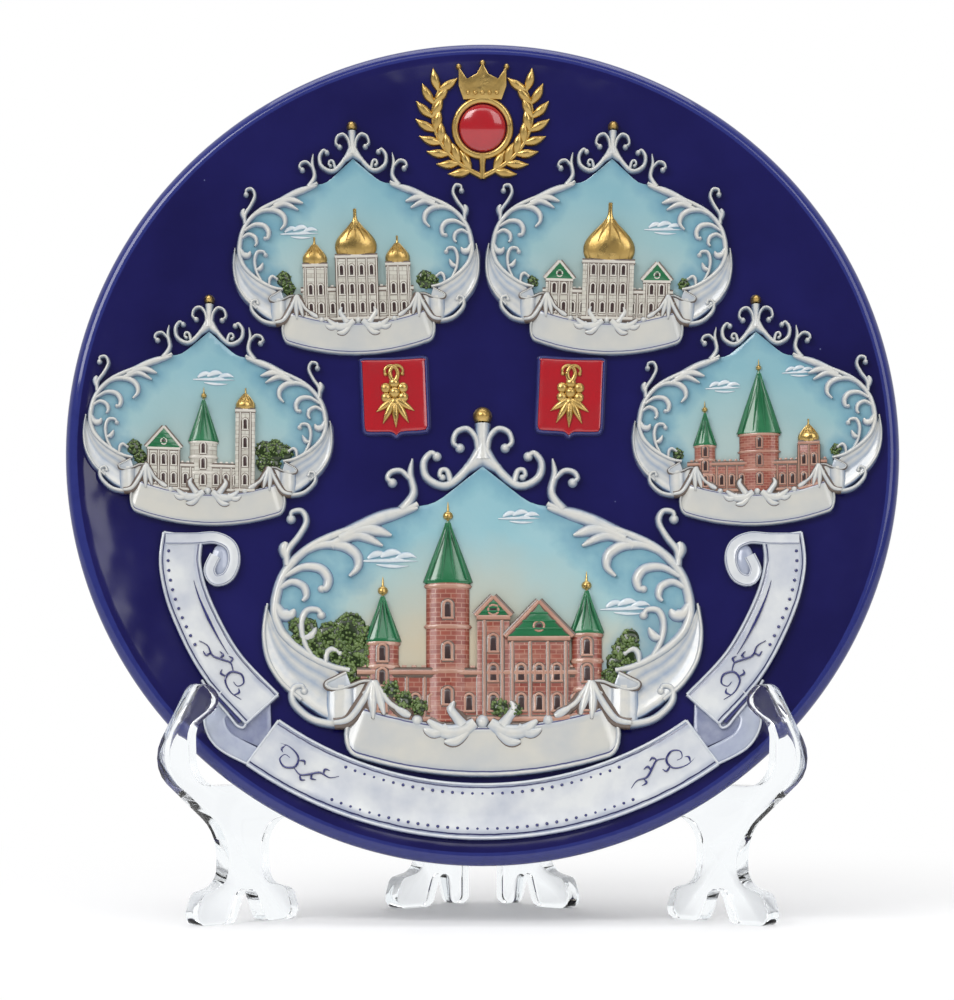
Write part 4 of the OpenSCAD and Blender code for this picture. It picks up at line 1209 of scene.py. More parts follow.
# The hollow ends of the two rolls: stretches of that edge, and their height
MOUTHS = ((slice(0, 31), 2.4), (slice(37, 67), 2.2))
valance = both_sides([swelling(*entry) for entry in VALANCE]) + PEARLS
for name, (place, half, blocks, walls, slot) in SCENES.items():
    to_face = drawn(place, half)
    forms = [beads([(to_face(ribbon_low), 0.012 * half, 0.0)], SEAT, 2.05, 0.3, cream_paint, 9, 0.2)]
    brown = []
    for sign in (-1, 1):
        for x, wide, low, high, deep in ROLLS:
            tall = high - low
            sides = [(wide * 0.9, 0), (wide * 0.97, 0.02), (wide, tall * 0.5), (wide * 0.95, tall)]
            forms.append(moved(turned(sides, sign * x, low, ROLL_SEAT, deep, 18), place, half))
        edge = to_face(smooth(EDGE, 6) * (sign, 1))
        # Painted shade: the hollow mouths of the rolls read lower than they stand, so they take a darker
        # colour.
        for stretch, deep in MOUTHS:
            mouth = slab(edge[stretch], 0.3, deep, 0.1, 0.02 * half)
            forms.append((mouth[0], mouth[1], mouth[2] * 0.72))
        forms.append(beads([(edge, 0.0095 * half, 0.0)], 0.6, 2.05, 0.25, cream_paint, 7))
        brown.append(beads([(edge, 0.017 * half, 0.0)], 0.6, 1.95, 0.02, brown_shade_paint, 5))
    leaves = on_face(valance, to_face, half)
    forms.append(beads(leaves, FIELD_TOP, 2.0, 0.25, cream_paint, 9))
    piece(name + "_ribbon_leaves", forms, cream_paint, "cream_relief", sharp=60)
    # Painted shade: a wider, lower brown copy of the leaf lines.
    shade_lines = [(path, wide * 1.25 + 0.012 * half, end * 1.3) for path, wide, end in leaves]
    brown.append(beads(shade_lines, FIELD_TOP, 1.8, 0.02, brown_shade_paint, 7))
    made = piece(name + "_ribbon_shade", brown, brown_shade_paint, "cream_relief", sharp=60)
print("last rubbed brown:", len(made.data.polygons), "faces")

# %% [markdown]
# The buildings are free inventions of the usual kinds: a long wing, gabled houses, round towers with cone
# roofs and domed pavilions. Walls, trim, openings, roofs and gilding are separate paints, so a site keeps
# the forms of one scene sorted by paint, together with the thin lines that are swept over them at the end.

# %% Building site
PANE_WIDE, PANE_TALL = 0.034, 0.076


def arch(x, y, wide, tall, steps=8):
    """Outline of an arched opening standing on y."""
    a = np.linspace(0, math.pi, steps)
    r = wide / 2
    top = np.c_[x + r * np.cos(a), y + tall - r + r * np.sin(a)]
    return np.vstack([(x - r, y), (x + r, y), top])


class Site:
    """Forms and lines of one scene's building, drawn in units of the scene's half width."""

    def __init__(self, place, half):
        self.place, self.half = place, half
        self.to_face = drawn(place, half)
        self.forms = {"walls": [], "trim": [], "dark": [], "roofs": [], "gold": [], "shade": []}
        self.lines = {"trim": [], "gold": [], "roofs": []}

    def put(self, kind, shape):
        """Keeps a form that lies on the face, with its flat drawing."""
        self.forms[kind].append(shape + ((shape[0][:, :2] - self.place[:2]) / self.half,))

    def turn(self, kind, profile, x, y, deep, sides=14):
        """Half-round form on the field."""
        self.put(kind, moved(turned(profile, x, y, FIELD_TOP, deep, sides), self.place, self.half))

    def plate(self, kind, outline, high, edge, low=FIELD_TOP, spacing=3.0):
        """Flat form with a softened edge."""
        self.put(kind, slab(self.to_face(outline), low, high, edge, spacing))

    def line(self, kind, line, wide, level):
        """Thin line, swept later."""
        self.lines[kind].append((self.to_face(line), wide * self.half, level))

    def opening(self, x, y, level):
        """Dark arched pane with a framing line and a sill."""
        self.plate("dark", arch(x, y, PANE_WIDE, PANE_TALL), level + 0.05, 0.04, level - 0.4)
        outer = arch(x, y, PANE_WIDE * 1.15, PANE_TALL + 0.006, 10)
        self.line("trim", outer[np.r_[1:len(outer), 0]], 0.0065, level)
        self.line("trim", [(x - PANE_WIDE * 0.8, y), (x + PANE_WIDE * 0.8, y)], 0.006, level)

    def sweep_lines(self):
        """Sweeps the lines level by level. Painted brown shade goes along the trim."""
        for kind, paint in (("trim", trim_paint), ("gold", gold_paint), ("roofs", roof_paint)):
            for level in sorted({at for line, wide, at in self.lines[kind]}):
                same = [(line, wide, 0.0) for line, wide, at in self.lines[kind] if at == level]
                self.put(kind, beads(same, level, 0.1, 0.4, paint, 5))
                if kind == "trim":
                    wider = [(line, wide * 1.9 + 0.05, 0.0) for line, wide, end in same]
                    self.forms["shade"].append(beads(wider, level - 0.1, 0.16, 0.0, brown_shade_paint, 5))


print("paints of a site:", list(Site((0, 0, 0, 1), 1).forms))

# %% [markdown]
# A round tower is half of a turned form that lies on the face. Its shaft has several rows of points,
# because a long straight side would rise out of the hollow of the dish and swallow the window panes in its
# middle.

# %% Towers
SHAFT_ROWS = 8
RINGS_UP, PANES_UP = (0.36, 0.68, 0.97), (0.12, 0.44, 0.74)
BALL = [(0.004, 0), (0.006, 0.004), (0.02, 0.012), (0.024, 0.024), (0.02, 0.036), (0.006, 0.046),
        (0.004, 0.07), (0.001, 0.09)]


def stand(x):
    """Height in the drawing where a wall meets the ground or the ribbon's top edge."""
    return max(GROUND, ARC_Y - math.sqrt(ARC_IN ** 2 - x * x) - 0.012)


def tower(site, x, w, h, deep):
    """Round tower with three rings, three openings, a cone roof and a gilt ball."""
    top, foot, rise = GROUND + h, stand(x), w * 1.5
    shaft = [(w / 2, (top - foot) * k / SHAFT_ROWS) for k in range(SHAFT_ROWS + 1)]
    site.turn("walls", shaft, x, foot, deep)
    ring = [(w * 0.52, 0), (w * 0.56, 0.01), (w * 0.52, 0.02)]
    for up in RINGS_UP:
        site.turn("trim", ring, x, GROUND + h * up - 0.01, deep + 0.12)
    for up in PANES_UP:
        site.opening(x, GROUND + h * up, FIELD_TOP + deep + 0.02)
    cone = [(w * 0.5, -0.01), (w * 0.58, 0), (w * 0.56, 0.012), (w * 0.36, rise * 0.4),
            (w * 0.16, rise * 0.75), (w * 0.02, rise)]
    site.turn("roofs", cone, x, top, deep + 0.1)
    site.turn("gold", BALL, x, top + rise - 0.01, 1.1, 10)
    for side in (-0.42, -0.15, 0.15, 0.42):
        seam = [(x + side * w * 1.05, top + 0.01), (x + side * w * 0.1, top + rise * 0.92)]
        site.line("roofs", seam, 0.005, FIELD_TOP + deep * math.sqrt(1 - side * side) - 0.15)


print("the ground meets the ribbon at", round(stand(0.5), 3))

# %% [markdown]
# Houses and wings are slabs with a plinth, a cornice, rows of openings and thin pilasters between them. The
# lower edge follows the ribbon, so that no wall stands over it. Each kind of roof is a function of its own.

# %% Houses
BAY, BAY_LEAST, STOREY, SILL = 0.082, 0.085, 0.14, 0.05
MERLON, MERLON_PITCH, MERLON_TALL = 0.011, 0.045, 0.026
DOME = [(0.42, 0), (0.5, 0.16), (0.48, 0.34), (0.34, 0.52), (0.14, 0.7), (0.05, 0.84), (0.04, 1.05)]


def house(site, x, w, h, deep):
    """Flat front with openings and pilasters."""
    top, level = GROUND + h, FIELD_TOP + deep
    base = [(spot, stand(spot)) for spot in np.linspace(x - w / 2, x + w / 2, 9)]
    front = np.array(base + [(x + w / 2, top), (x - w / 2, top)])
    site.plate("walls", front, level, 0.15, spacing=3.5)
    site.line("trim", np.array(base) + (0, 0.012), 0.013, level)
    site.line("trim", [(x + reach * w, top - 0.008) for reach in (-0.515, 0, 0.515)], 0.012, level)
    across, storeys = max(1, int(w / BAY_LEAST)), max(1, int(h / STOREY))
    for i in range(across):
        for j in range(storeys):
            site.opening(x + (i - (across - 1) / 2) * BAY, GROUND + SILL + j * STOREY, level)
    for i in range(across + 1):
        spot = x + (i - across / 2) * BAY
        if abs(spot - x) < w / 2 + 0.001:
            site.line("trim", [(spot, stand(spot) + 0.02), (spot, top - 0.02)], 0.0055, level)


def battlement(site, x, w, top, deep):
    """Row of merlons along a flat roof."""
    for spot in np.arange(x - w / 2 + 0.02, x + w / 2, MERLON_PITCH):
        left, right = spot - MERLON, spot + MERLON
        merlon = [(left, top), (right, top), (right, top + MERLON_TALL), (left, top + MERLON_TALL)]
        site.plate("trim", merlon, FIELD_TOP + deep - 0.1, 0.08)


def gable(site, x, w, top, deep):
    """Gable with barge boards, three courses and a round window."""
    level, rise = FIELD_TOP + deep, w * 0.6
    site.plate("roofs", [(x - w * 0.56, top), (x + w * 0.56, top), (x, top + rise)], level + 0.1, 0.12)
    for side in (-1, 1):
        site.line("trim", [(x + side * w * 0.56, top), (x, top + rise)], 0.01, level + 0.05)
    for k in range(1, 4):
        up, reach = rise * k / 4.5, w * 0.5 * (1 - k / 4.5)
        site.line("roofs", [(x - reach, top + up), (x + reach, top + up)], 0.006, level + 0.05)
    eye_y = top + rise * 0.3
    pane = 0.02 * site.half
    site.forms["dark"].append(mound(site.to_face((x, eye_y))[0], pane, pane, level + 0.05, 0.1, 2, 12))
    a = np.radians(np.linspace(0, 360, 15))
    site.line("trim", np.c_[x + 0.024 * np.cos(a), eye_y + 0.024 * np.sin(a)], 0.006, level + 0.05)


def dome(site, x, w, top, deep):
    """Gilt dome with ribs, over a moulded ring."""
    crown = deep + 0.3
    profile = smooth(DOME, 4) * w
    site.turn("gold", profile, x, top, crown, 18)
    for side in (-0.8, -0.45, 0.0, 0.45, 0.8):
        rib = profile[1:int(len(profile) * 0.72)] * (side, 1) + (x, top)
        lift = FIELD_TOP + crown * math.sqrt(1 - side * side) * 0.93
        site.line("gold", rib, 0.006, lift - 0.1)
    ring = [(w * 0.5, 0), (w * 0.54, 0.008), (w * 0.5, 0.018)]
    site.turn("trim", ring, x, top - 0.012, deep + 0.2)


ROOFS = {FLAT: battlement, GABLE: gable, DOMED: dome}
print("roofs:", [roof.__name__ for roof in ROOFS.values()])

# %% [markdown]
# Now each scene is built from its list of blocks. The trim of brick buildings is rose and that of stone
# ones is cream. The knob on top of the frame is gilt, so it joins the gilding of its scene.

# %% Buildings
KNOB_Y, KNOB_R = 1.105, 0.045
for name, (place, half, blocks, walls, slot) in SCENES.items():
    site = Site(place, half)
    for x, w, h, kind, factor in blocks:
        if kind == CONE:
            tower(site, x, w, h, WALL * factor)
        else:
            house(site, x, w, h, WALL * factor)
            ROOFS[kind](site, x, w, GROUND + h, WALL * factor)
    site.sweep_lines()
    knob_at = site.to_face((0, KNOB_Y))[0]
    site.forms["gold"].append(mound(knob_at, KNOB_R * half, KNOB_R * half, 0.2, FRAME_TOP + 0.4))
    trim = rose_paint if walls is brick_paint else trim_paint
    plain = {kind: [shape[:3] for shape in site.forms[kind]] for kind in ("dark", "gold")}
    piece(name + "_walls", site.forms["walls"], walls, slot, [name + "_building"])
    piece(name + "_trim", site.forms["trim"], trim, "cream_relief", sharp=50)
    piece(name + "_wall_shade", site.forms["shade"], brown_shade_paint, slot, sharp=50)
    piece(name + "_openings", plain["dark"], dark_paint, slot)
    if site.forms["roofs"]:
        piece(name + "_roof", site.forms["roofs"], roof_paint, "roof_green", [name + "_roofs"])
    piece(name + "_gold", plain["gold"], gold_paint, "gilding", [name + "_gilding"])
    print(name, "has", len(plain["dark"]), "openings")

# %% [markdown]
# Trees are rounds of clay stippled with a tool. A mound is covered with small leaf lumps by a Geometry
# Nodes scatter with a fixed seed. The lumps are low, so that each tree stays inside its frame.

# %% Leaf stipple
scatter, given, result = node_tree("Leaf stipple", [
    ("Density", FLOAT, 1.0), ("Leaf", FLOAT, 0.4), ("Seed", INT, 3), ("Paint", PAINT, None)])
spread = add(scatter, "GeometryNodeDistributePointsOnFaces",
             {"Mesh": given["Geometry"], "Density": given["Density"], "Seed": given["Seed"]})
lump = add(scatter, "GeometryNodeMeshIcoSphere", {"Radius": 1.0, "Subdivisions": 1}).outputs["Mesh"]
# Painted shade: each leaf lump reads low on its underside, so the leaf paint darkens it there.
lump_underside_shade = sums(scatter, "MULTIPLY_ADD", place_parts(scatter)["Z"], 0.5, 0.5)
size = add(scatter, "FunctionNodeRandomValue", {2: 0.6, 3: 1.25, "Seed": given["Seed"]}, data_type="FLOAT")
leaf_size = sums(scatter, "MULTIPLY", size.outputs[1], given["Leaf"])
leaves = scattered(scatter, Points=spread.outputs["Points"], Instance=marked(scatter, lump, lump_underside_shade),
                   Scale=leaf_size)
joined = add(scatter, "GeometryNodeJoinGeometry", {0: given["Geometry"]})
feed(scatter, joined, {0: leaves})
coated(scatter, result, joined.outputs[0], given["Paint"])
print("stipple nodes:", len(scatter.nodes))

# %% [markdown]
# Each tree is a cluster of rounds, given by place and radius. Rounds with a fourth number stand in front
# of a wall, so they are that much higher. The flat foot of a mound stays bare, because leaves under it
# aren't seen.

# %% Trees
LEAF_SEED = 7
CROWN = WALL * 0.55
ROUNDS = {
    "main": [(-0.86, 0.11, 0.04), (-0.845, 0.05, 0.04), (-0.8, 0.1, 0.05), (-0.77, 0.03, 0.06),
             (-0.74, -0.02, 0.05), (-0.7, 0.06, 0.075), (-0.61, 0.09, 0.09), (-0.53, 0.05, 0.065),
             (-0.66, -0.01, 0.07), (-0.57, -0.04, 0.08), (-0.51, -0.1, 0.06), (-0.6, -0.11, 0.05),
             (-0.43, -0.19, 0.06, 2.0), (-0.36, -0.245, 0.055, 2.0), (-0.29, -0.27, 0.045, 2.1),
             (0.08, -0.275, 0.055, 2.1), (0.15, -0.285, 0.045, 2.1), (0.66, -0.01, 0.075),
             (0.62, -0.07, 0.06), (0.68, 0.05, 0.05), (0.58, -0.13, 0.04, 1.6)],
    "villa": [(-0.6, -0.02, 0.07), (-0.56, -0.09, 0.06), (0.56, -0.04, 0.08), (0.62, -0.06, 0.06)],
    "rotunda": [(-0.62, -0.06, 0.05), (0.62, -0.06, 0.05)],
    "harbour": [(-0.6, -0.02, 0.07), (-0.55, -0.09, 0.06), (0.46, -0.02, 0.09), (0.54, -0.02, 0.1),
                (0.63, -0.03, 0.07), (0.45, -0.12, 0.07, 1.5), (0.54, -0.12, 0.06)],
    "gate": [(-0.64, -0.04, 0.05), (0.64, -0.04, 0.05)],
}


def stippled(mounds, leaf, density):
    """Mounds covered with small lumps."""
    points, faces, count = [], [], 0
    for shape in mounds:
        points.append(shape[0])
        faces += [tuple(count + v for v in f) for f in shape[1][:-1]]
        count += len(shape[0])
    mesh = bpy.data.meshes.new("Mounds")
    mesh.from_pydata(np.vstack(points).tolist(), [], faces)
    made = grown(mesh, scatter, Density=density, Leaf=leaf, Seed=LEAF_SEED, Paint=leaf_paint)
    made[0][:, 2] = np.maximum(made[0][:, 2], FIELD_TOP - 0.2)
    return made


for name, (place, half, blocks, walls, slot) in SCENES.items():
    to_face = drawn(place, half)
    mounds = []
    for x, y, r, *front in ROUNDS[name]:
        deep = front[0] if front else CROWN
        mounds.append(mound(to_face((x, y))[0], r * half * 0.85, r * half * 0.95, FIELD_TOP, deep))
    nodes = [name + "_trees"] if name + "_trees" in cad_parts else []
    shape = stippled(mounds, 0.007 * half + 0.13, 1.1 + 30.0 / half)
    made = piece(name + "_leaves", [shape], leaf_paint, "leaf_green", nodes, sharp=80)
print("last trees:", len(made.data.polygons), "faces")

# %% [markdown]
# The banner under the large scene has rows of punched dots. Dots repeat along a line, so a small tree
# resamples each line to an even pitch and sets a low dome on every point.

# %% Dot rows
dotted, given, result = node_tree("Dot row", [
    ("Pitch", FLOAT, 2.0), ("Dot", FLOAT, 0.3), ("Paint", PAINT, None)])
line = add(dotted, "GeometryNodeMeshToCurve", {"Mesh": given["Geometry"]})
evenly = add(dotted, "GeometryNodeResampleCurve", {"Curve": line.outputs[0], "Length": given["Pitch"]},
             mode="LENGTH")
knob = add(dotted, "GeometryNodeMeshUVSphere", {"Segments": 10, "Rings": 6}).outputs["Mesh"]
row = scattered(dotted, Points=evenly.outputs[0], Instance=marked(dotted, knob, 1.0), Scale=given["Dot"])
coated(dotted, result, row, given["Paint"])


def dots(lines, level, pitch, radius, paint):
    """Low round dots along lines, their middles at a height over the face."""
    mesh = chains([(line, 1.0, 0.0) for line in lines])
    points, faces, proud = grown(mesh, dotted, Pitch=pitch, Dot=radius, Paint=paint)
    points[:, 2] = level + points[:, 2] * 0.6
    return points, faces, proud


print("dot nodes:", len(dotted.nodes))

# %% [markdown]
# The long banner has a raised rim, an etched line, rows of dots and an etched flourish at each end. The
# flourish is drawn once in millimetres along and across a band, and a small function bends it to follow
# that band. Rims, pen lines and dot rows are gathered in lists, because the band and its tails share them.

# %% Banner band
BANNER_Y, BANNER_R, BANNER_W, BANNER_TOP = 3.9, 91.0, 13.0, 2.0
BANNER_ENDS, DOT_ENDS = (-125, -55), (-112, -68)
BAND_SEAT = 0.1
FLOURISH = [
    [(0, 2.0), (3, 2.6), (6, 1.6), (6.6, -0.8), (4.5, -2.2), (2.6, -1.2), (3, 0.4), (4.4, 0.4)],
    [(6.4, -1.2), (8.5, -2.0), (10.5, -0.8), (12.5, 0.6), (15, 0.4), (17, 1.6)],
    [(8.5, -2.0), (9.2, -3.0), (10.2, -2.6)],
    [(11, -0.4), (11.2, -1.6), (12.4, -1.4)],
    [(13.4, 0.6), (13.2, 1.8), (14.4, 2.0)],
    [(2, 2.5), (1.6, 1.2), (2.4, 0.6)],
    [(6.5, 0.8), (7.8, 1.4), (8.4, 0.6)],
]


def bent(shape, path):
    """A line drawn along and across a band, laid on the band's middle line."""
    far = np.r_[0, np.cumsum(np.linalg.norm(np.diff(path, axis=0), axis=1))]
    side = sides_of(path)
    out = []
    for a, b in smooth(shape, 5):
        out.append([np.interp(a, far, path[:, k]) + b * np.interp(a, far, side[:, k]) for k in (0, 1)])
    return np.array(out)


def pen(line):
    """Etched stroke that swells in its middle."""
    return line, 0.12 + 0.22 * np.sin(math.pi * np.linspace(0.08, 1, len(line))) ** 2, 0.0


def flourish(path, start, side=1):
    """Pen lines of one flourish, from a place along a band."""
    return [pen(bent([(a + start, side * b) for a, b in shape], path)) for shape in FLOURISH]


def waved(t, s):
    """Height of the band: four slow waves along it."""
    return BANNER_TOP - 0.3 + 0.15 * math.cos(8 * math.pi * t) + 0.1 * s * s


banner_paint = bordered("Banner enamel", 0.44, (0.60, 0.615, 0.62, 1), (0.19, 0.225, 0.35, 1),
                        (0.012, 0.013, 0.07, 1))
rims, inks, rows = [], [], []
middle = arc_line((0, BANNER_Y), BANNER_R, *BANNER_ENDS, 141)
first, second = edges_of(middle, BANNER_W / 2)
band = strip(first, second, waved, BAND_SEAT)
piece("banner_band", [band], banner_paint, "cream_relief", ["banner_middle"], sharp=50)
for edge, line in ((-1, first), (1, second)):
    rims.append((line, 0.5, 0.0))
    rows.append(arc_line((0, BANNER_Y), BANNER_R - edge * BANNER_W * 0.33, *DOT_ENDS, 121))
for path, end in ((middle[::-1], -1), (middle, 0)):
    rims.append((even([first[end], second[end]], 1.0, False), 0.5, 0.0))
    inks += flourish(path, 3.0)
print("band lines:", len(rims), "rims,", len(inks), "strokes,", len(rows), "dot rows")

# %% [markdown]
# A tail rises at each end of the banner and rolls over at its top. The roll is a second, narrow band along
# a curl, seen from its edge. Under the tail the ribbon folds back: the fold is a lower band in shadow,
# with a hem and a dark slit where it loops. Everything is drawn for the right side and mirrored by its
# sign.

# %% Banner tails and folds
TAIL = [(52.5, -62.5), (62.4, -51.6), (69.5, -38.2), (72.3, -28), (71.8, -20.4)]
ROLLED = [(75.8, -21.4), (69, -21.2), (64, -20.8), (60.4, -22.6), (59.5, -26.4), (61, -30.2), (64, -31.2),
          (65.4, -28.7), (64, -25.2)]
ROLL_HEART, ROLL_RADII = (62.4, -26.2), (2.6, 4.2)
FOLD = [(60, -60), (63.6, -64.5), (61.5, -70), (54.5, -74)]
# Hem where a tail loops back, the dark slit in it, and the ribbon's back between the two ends
HEM = [(56.2, -65.7), (56.8, -67.1), (58.3, -66.7), (60.1, -64.5), (62.7, -61.4), (65.1, -58.6),
       (66.8, -55.7)]
SLIT = [(57.6, -65.8), (60.1, -63.1), (62.7, -60.2), (65.0, -57.5)]
BACK = [(56.35, -66.0), (50.5, -60.8), (50.2, -67.8), (53.0, -71.8), (59.6, -68.9), (61.8, -65.6),
        (60.4, -63.6)]
TAIL_STEPS, FOLD_STEPS = 50, 30
tails, folds, hems, slits = [], [], [], []


def sagging(t, s):
    """Height of a tail: it sags along its length."""
    return BANNER_TOP - 0.25 - 0.3 * math.sin(math.pi * t) + 0.1 * s * s


def rolling(t, s):
    """Height of a roll: it sinks toward its heart."""
    return BANNER_TOP + 0.15 - 0.3 * t + 0.1 * s * s


def folded(t, s):
    return BANNER_TOP * 0.6


def add_tail(sign):
    tail = along(TAIL, TAIL_STEPS) * (sign, 1)
    half = np.linspace(0.4, 0.35, TAIL_STEPS) * BANNER_W
    first, second = edges_of(tail, half)
    tails.append(strip(first, second, sagging, BAND_SEAT))
    rims.extend((line, 0.45, 0.0) for line in (first, second))
    rims.extend((even([first[k], second[k]], 1.0, False), 0.45, 0.0) for k in (0, -1))
    rows.append(edges_of(tail, half * 0.6)[0 if sign > 0 else 1][22:48])
    inks.extend(flourish(tail, 5.0, -sign))
    swell = np.r_[np.linspace(0.08, 0.4, 11), np.linspace(0.4, 0.08, 11)]
    inks.append((edges_of(tail, half * 0.55)[1 if sign > 0 else 0][16:38], swell, 0.0))


def add_roll(sign):
    edges = edges_of(along(ROLLED, TAIL_STEPS) * (sign, 1), np.linspace(0.1, 0.09, TAIL_STEPS) * BANNER_W)
    tails.append(strip(edges[0], edges[1], rolling, BAND_SEAT))
    rims.extend((line, 0.3, 0.0) for line in edges)
    a = np.radians(np.arange(0, 360, 15))
    heart = np.array(ROLL_HEART) + np.c_[np.cos(a), np.sin(a)] * ROLL_RADII
    # The inside of the roll is a crowned slab in the fold's painted shade.
    folds.append(slab(heart * (sign, 1), BAND_SEAT, 0.9, 0.3, 1.0, 0.7))


def add_fold(sign):
    edges = edges_of(along(FOLD, FOLD_STEPS) * (sign, 1), np.linspace(0.2, 0.18, FOLD_STEPS) * BANNER_W)
    folds.append(strip(edges[0], edges[1], folded, BAND_SEAT))
    # Painted shade: the ribbon's back between the ends reads low, so it is painted darker.
    back = slab(np.array(BACK) * (sign, 1), BAND_SEAT, 0.9, 0.2, 1.0)
    folds.append((back[0], back[1], back[2] * 0.55))
    hems.append((along(HEM, 40) * (sign, 1), 0.42, 0.0))
    hems.append((max(edges, key=lambda line: np.abs(line[:, 0]).max()), 0.36, 0.0))
    slits.append((along(SLIT, 20) * (sign, 1), 0.5, 0.0))


for sign in (-1, 1):
    add_tail(sign)
    add_roll(sign)
    add_fold(sign)
fold_paint = painted("Fold shade", (0.38, 0.41, 0.49, 1), (0.18, 0.215, 0.34, 1), (0.05, 0.06, 0.17, 1),
                     low=0.1, high=0.9, amount=0.6)
piece("banner_ends", tails, banner_paint, "cream_relief", ["banner_tails"], sharp=50)
piece("banner_turns", folds, fold_paint, "blue_wash", ["banner_folds"], sharp=50)
print("tails and rolls:", len(tails), "folds:", len(folds))

# %% [markdown]
# The gathered lines become three pieces: the pale rim, the etched pen lines and the dots. They lie over
# the bands by a fraction of a millimetre, so they read as one modelled and inked ribbon.

# %% Banner rim, pen lines and dots
rim_paint = antiqued("Banner rim", (0.58, 0.6, 0.62, 1), (0.4, 0.44, 0.52, 1), (0.18, 0.225, 0.37, 1),
                     (0.02, 0.02, 0.09, 1))
edging = [beads(rims, 0.2, BANNER_TOP - 0.35, 0.4, rim_paint, 9),
          beads(hems, 0.2, BANNER_TOP - 0.5, 0.4, rim_paint, 9)]
piece("banner_rim", edging, rim_paint, "cream_relief")
etched = [beads(inks, BANNER_TOP - 0.62, 0.3, 1.0, etch_paint, 5), beads(slits, 0.8, 0.4, 1.0, etch_paint, 5)]
piece("banner_flourish", etched, etch_paint, "blue_wash")
punched = dots(rows, BANNER_TOP - 0.25, 2.3, 0.4, etch_paint)
piece("banner_dots", [punched], etch_paint, "blue_wash")
print("banner:", len(rims), "rims,", len(inks), "strokes,", len(rows), "dot rows")

# %% [markdown]
# Two small red shields stand over the large scene, each with a gilded spray: berries in a ring, pointed
# leaves below and a small loop above. These are plain stock forms, made of mounds and swept lines.

# %% Shields
SHIELD = [(0, 0.57), (0.25, 0.575), (0.44, 0.58), (0.49, 0.565), (0.5, 0.52), (0.5, 0), (0.5, -0.46),
          (0.485, -0.54), (0.43, -0.575), (0.12, -0.585), (0.05, -0.605), (0, -0.65)]
SHIELD_X, SHIELD_Y, SHIELD_TURN, SHIELD_W, SHIELD_TOP = 21.2, 14.8, -2.5, 15.6, 1.4
# Leaves of the spray: heading and length
SPRAY = ((215, 0.36), (243, 0.44), (270, 0.46), (297, 0.44), (325, 0.36))
HEART_Y, BERRY_RING, BERRIES = 0.04, 0.15, 6
outline = both(smooth(SHIELD, 6))
spray = [petal((0, -0.05), heading, long, 0.055, 0) for heading, long in SPRAY]
for turn in (-1, 1):
    loop = curl(0, 0.2, 90 - 40 * turn, 0.52, 250 * turn, 18)
    spray.append((loop, np.linspace(0.04, 0.022, len(loop)), 0.035))
for name, side in (("left", -1), ("right", 1)):
    to_face = drawn((SHIELD_X * side, SHIELD_Y, SHIELD_TURN * side, 1.0), SHIELD_W)
    face = slab(to_face(outline * 0.97), 0.0, SHIELD_TOP, 0.3, 1.6)
    piece(name + "_shield_face", [face], red_paint, "red_enamel", [name + "_shield"])
    border = [(to_face(np.vstack([outline, outline[:2]])), 0.45, 0.0)]
    rim = beads(border, SEAT, SHIELD_TOP - 0.25, 0.2, etch_paint, 7, 0.5)
    piece(name + "_shield_rim", [rim], etch_paint, "blue_wash", sharp=60)
    forms = [beads(on_face(spray, to_face, SHIELD_W), SHIELD_TOP - 0.1, 0.45, 0.6, gold_paint, 9)]
    for a in np.radians(90 + 360 / BERRIES * np.arange(BERRIES)):
        berry = to_face((BERRY_RING * math.cos(a), HEART_Y + BERRY_RING * math.sin(a)))[0]
        forms.append(mound(berry, 1.3, 1.3, SHIELD_TOP, 0.8))
    forms.append(mound(to_face((0, HEART_Y))[0], 1.45, 1.45, SHIELD_TOP, 1.25))
    made = piece(name + "_rosette", forms, gold_paint, "gilding", [name + "_charge"])
print("one spray:", len(made.data.polygons), "faces")

# %% [markdown]
# The crest at the top is a laurel of two branches round a red stone, with a coronet over it. Branches,
# leaves and the stone's ring are swept lines again. The coronet is a slab with a row of beads, and the
# stone a low mound.

# %% Crest
CREST_W, CREST_Y, STONE = 29.0, 79.5, 0.2
CORONET = [(0, 0.53), (0.05, 0.44), (0.13, 0.4), (0.2, 0.5), (0.2, 0.34), (0.16, 0.23), (0, 0.24)]
LEAF_TURN, LEAF_LONG, LEAF_WIDE = 42, 0.19, 0.04
branch = curl(0, -0.4, 25, 0.9, 95, 8)
twig = smooth(branch, 3)
lines = []
for sign in (-1, 1):
    lines.append((twig * (sign, 1), np.linspace(0.025, 0.012, len(twig)), 0.0))
    for before, here in zip(branch, branch[1:]):
        heading = math.degrees(math.atan2(*(here - before)[::-1]))
        for turn in (-LEAF_TURN, LEAF_TURN):
            leaf, wide, end = petal(here, heading + turn, LEAF_LONG, LEAF_WIDE, -turn * 0.4, 7)
            lines.append((leaf * (sign, 1), wide, end))
        lines.append((np.array([here, here + 0.01]) * (sign, 1), 0.01, 0.014))
ring = np.radians(np.linspace(0, 368, 48))
lines.append((np.c_[np.cos(ring), np.sin(ring)] * (STONE + 0.03), 0.03, 0.0))
lines.append(([(0, -0.22), (0, -0.32), (0, -0.42)], [0.035, 0.025, 0.03], 0.0))
to_face = drawn((0, CREST_Y, 0, 1.0), CREST_W)
forms = [beads(on_face(lines, to_face, CREST_W), 0.0, 0.6, 0.7, gold_paint, 9)]
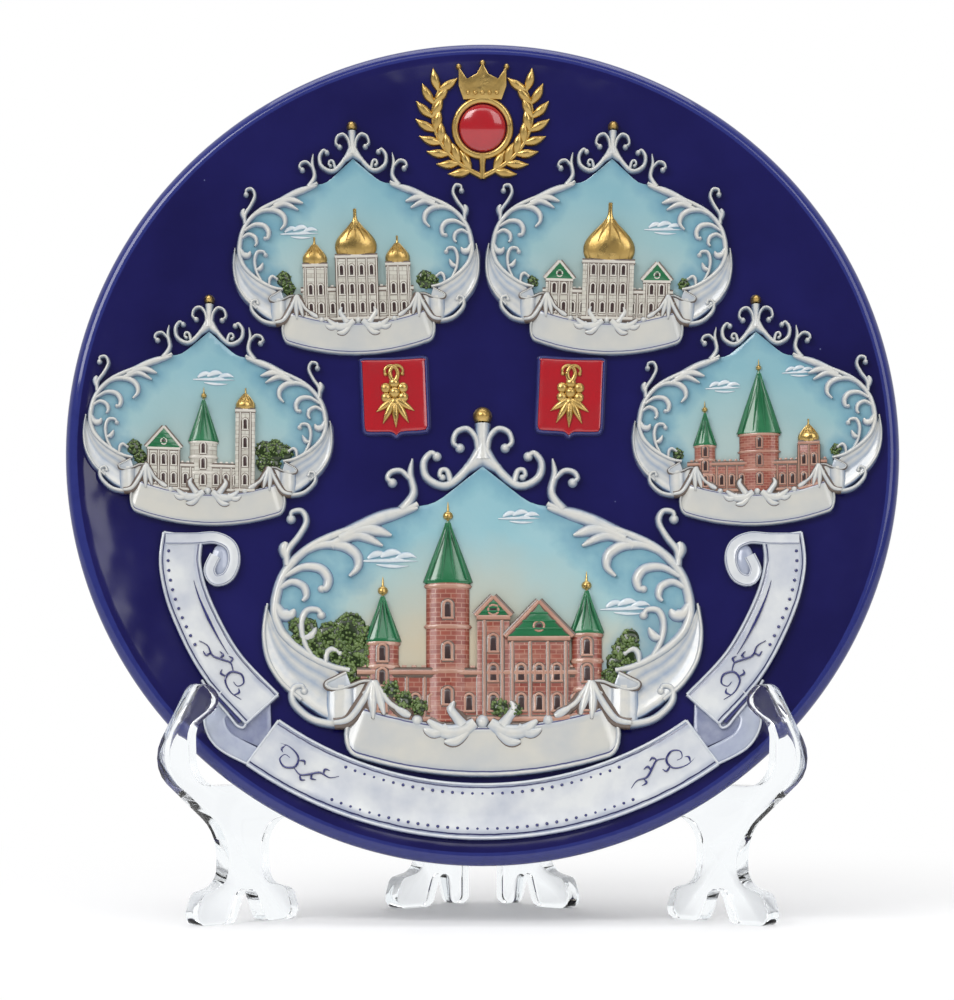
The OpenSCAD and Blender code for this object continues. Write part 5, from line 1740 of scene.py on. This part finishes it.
forms.append(slab(to_face(both(CORONET)), 0.0, 1.15, 0.2, 1.5))
for point in ((0, 0.53), (-0.2, 0.5), (0.2, 0.5)):
    forms.append(mound(to_face(point)[0], 0.75, 0.75, 0.2, 1.3))
for x in (-0.12, -0.06, 0.0, 0.06, 0.12):
    forms.append(mound(to_face((x, 0.285))[0], 0.55, 0.55, 1.0, 0.6, 4, 12))
piece("crest_gold", forms, gold_paint, "gilding", ["crest"])
stone_r = STONE * CREST_W * 0.99
piece("crest_red", [mound((0, CREST_Y), stone_r, stone_r, 0.2, 1.75, 10, 40)], red_paint, "red_enamel",
      ["crest_stone"])
print("crest lines:", len(lines))

# %% [markdown]
# The easel is moulded in clear plastic, in two panels on one pin. The solid model has the right outline
# but knife-sharp edges, and a clear part shows mostly by the light in its rounded edges. So each panel is
# a copy of its node, welded, cleared of flat seams and given a small bevel.

# %% Easel
PANEL_BEVEL, PIN_BEVEL = 0.0006, 0.0002


def softened(name, node, width, slot, body):
    """Copy of a node with rounded edges, in clear plastic."""
    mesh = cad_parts[node].data.copy()
    mesh.transform(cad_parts[node].matrix_world)
    bm = bmesh.new()
    bm.from_mesh(mesh)
    bmesh.ops.remove_doubles(bm, verts=bm.verts, dist=1e-6)
    bmesh.ops.dissolve_limit(bm, angle_limit=math.radians(0.5), verts=bm.verts, edges=bm.edges)
    sharp = [e for e in bm.edges if len(e.link_faces) == 2 and e.calc_face_angle() > math.radians(35)]
    bmesh.ops.bevel(bm, geom=sharp, offset=width, segments=3, profile=0.5, affect="EDGES", clamp_overlap=True)
    bm.to_mesh(mesh)
    bm.free()
    return hand_in(name, mesh, plastic, slot, [node], body, sharp=30)


left = softened("left_clear_panel", "left_panel", PANEL_BEVEL, "clear_plastic", "left_leaf")
right = softened("right_clear_panel", "right_panel", PANEL_BEVEL, "clear_plastic", "right_leaf")
pin = softened("clear_pin", "hinge_pin", PIN_BEVEL, "clear_pin", "hinge")
print("easel faces:", [len(made.data.polygons) for made in (left, right, pin)])
